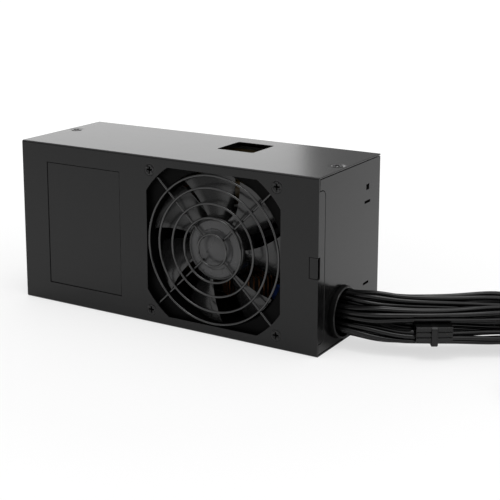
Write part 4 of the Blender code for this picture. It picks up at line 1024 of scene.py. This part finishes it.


def make_floor():
    """A pale table. It glows a little to the camera, so that the shadows on it stay light, and glows less
    near the object: a painted shade round it.
    """
    half = 8.0
    bm = bmesh.new()
    bm.faces.new([bm.verts.new((x * half, y * half, 0)) for x, y in ((-1, -1), (1, -1), (1, 1), (-1, 1))])
    paper = bpy.data.materials.new("floor_paper")
    nodes = Nodes(paper)
    shader = nodes.shader
    shader.inputs["Specular IOR Level"].default_value = 0.1
    shader.inputs["Roughness"].default_value = 0.8
    shader.inputs["Emission Color"].default_value = (1, 1, 1, 1)
    seen = nodes.add("LightPath").outputs["Is Camera Ray"]
    plain = nodes.add("MapRange", Value=seen, To_Min=FLOOR_LIT, To_Max=FLOOR_SEEN).outputs["Result"]
    cloud = nodes.spread(nodes.noise(6, 2), 0.985, 1.0)
    shade = nodes.multiplied(plain, cloud)
    grey = nodes.add("CombineColor", Red=shade, Green=shade, Blue=shade)
    nodes.put(shader.inputs["Base Color"], grey.outputs["Color"])
    away = nodes.add("VectorMath", Vector=nodes.place)
    away.operation = "LENGTH"
    (near, near_glow), (far, far_glow) = FLOOR_GLOW_AND_SHADE
    # Weaker near the object: a painted shade round it.
    glow = nodes.add(
        "MapRange", Value=away.outputs["Value"], From_Min=near, From_Max=far,
        To_Min=near_glow, To_Max=far_glow,
    )
    nodes.put(shader.inputs["Emission Strength"], nodes.multiplied(glow.outputs["Result"], seen))
    add("floor", bm, paper)


def make_softbox(name, centre, aim, size, power):
    """An area light that faces a point, and that the camera doesn't see."""
    light = bpy.data.lights.new(name, "AREA")
    light.shape, light.size, light.size_y, light.energy = "RECTANGLE", *size, power
    made = bpy.data.objects.new(name, light)
    made.location = centre
    made.rotation_euler = (Vector(centre) - Vector(aim)).to_track_quat("Z", "Y").to_euler()
    made.visible_camera = False
    bpy.context.scene.collection.objects.link(made)


# The sky's light at the horizon and straight up, the power it rises with, and its white to the camera.
SKY_LOW, SKY_HIGH, SKY_RISE, SKY_WHITE = 0.16, 1.5, 1.5, 1.15


def make_sky():
    """White to the camera. It lights the object from above more than from its sides."""
    world = bpy.data.worlds.new("studio")
    world.use_nodes = True
    tree = world.node_tree
    tree.nodes.clear()
    place = tree.nodes.new("ShaderNodeTexCoord")
    parts = tree.nodes.new("ShaderNodeSeparateXYZ")
    lifted = tree.nodes.new("ShaderNodeMath")
    lifted.operation, lifted.inputs[1].default_value = "POWER", SKY_RISE
    ramp = tree.nodes.new("ShaderNodeMapRange")
    ramp.inputs["To Min"].default_value, ramp.inputs["To Max"].default_value = SKY_LOW, SKY_HIGH
    sky, white, mix, out, path = (
        tree.nodes.new("ShaderNode" + kind)
        for kind in ("Background", "Background", "MixShader", "OutputWorld", "LightPath")
    )
    white.inputs["Color"].default_value = (1, 1, 1, 1)
    white.inputs["Strength"].default_value = SKY_WHITE
    sky.inputs["Color"].default_value = (1, 1, 1, 1)
    for source, target in (
        (place.outputs["Generated"], parts.inputs["Vector"]),
        (parts.outputs["Z"], lifted.inputs[0]),
        (lifted.outputs["Value"], ramp.inputs["Value"]),
        (ramp.outputs["Result"], sky.inputs["Strength"]),
        (path.outputs["Is Camera Ray"], mix.inputs["Fac"]),
        (sky.outputs["Background"], mix.inputs[1]),
        (white.outputs["Background"], mix.inputs[2]),
        (mix.outputs["Shader"], out.inputs["Surface"]),
    ):
        tree.links.new(source, target)
    bpy.context.scene.world = world


make_floor()
make_sky()
make_softbox("back_left", (-0.62, 0.75, 0.30), (-0.02, 0, 0.085), (0.5, 0.5), 0.9)
make_softbox("front_right", (0.9, -0.5, 0.5), (0.08, 0, 0.04), (0.6, 0.6), 1.2)
make_softbox("over", (0.12, -0.1, 1.0), (0.06, 0, 0), (0.5, 0.4), 2.6)
bpy.context.scene.view_settings.view_transform = "Standard"
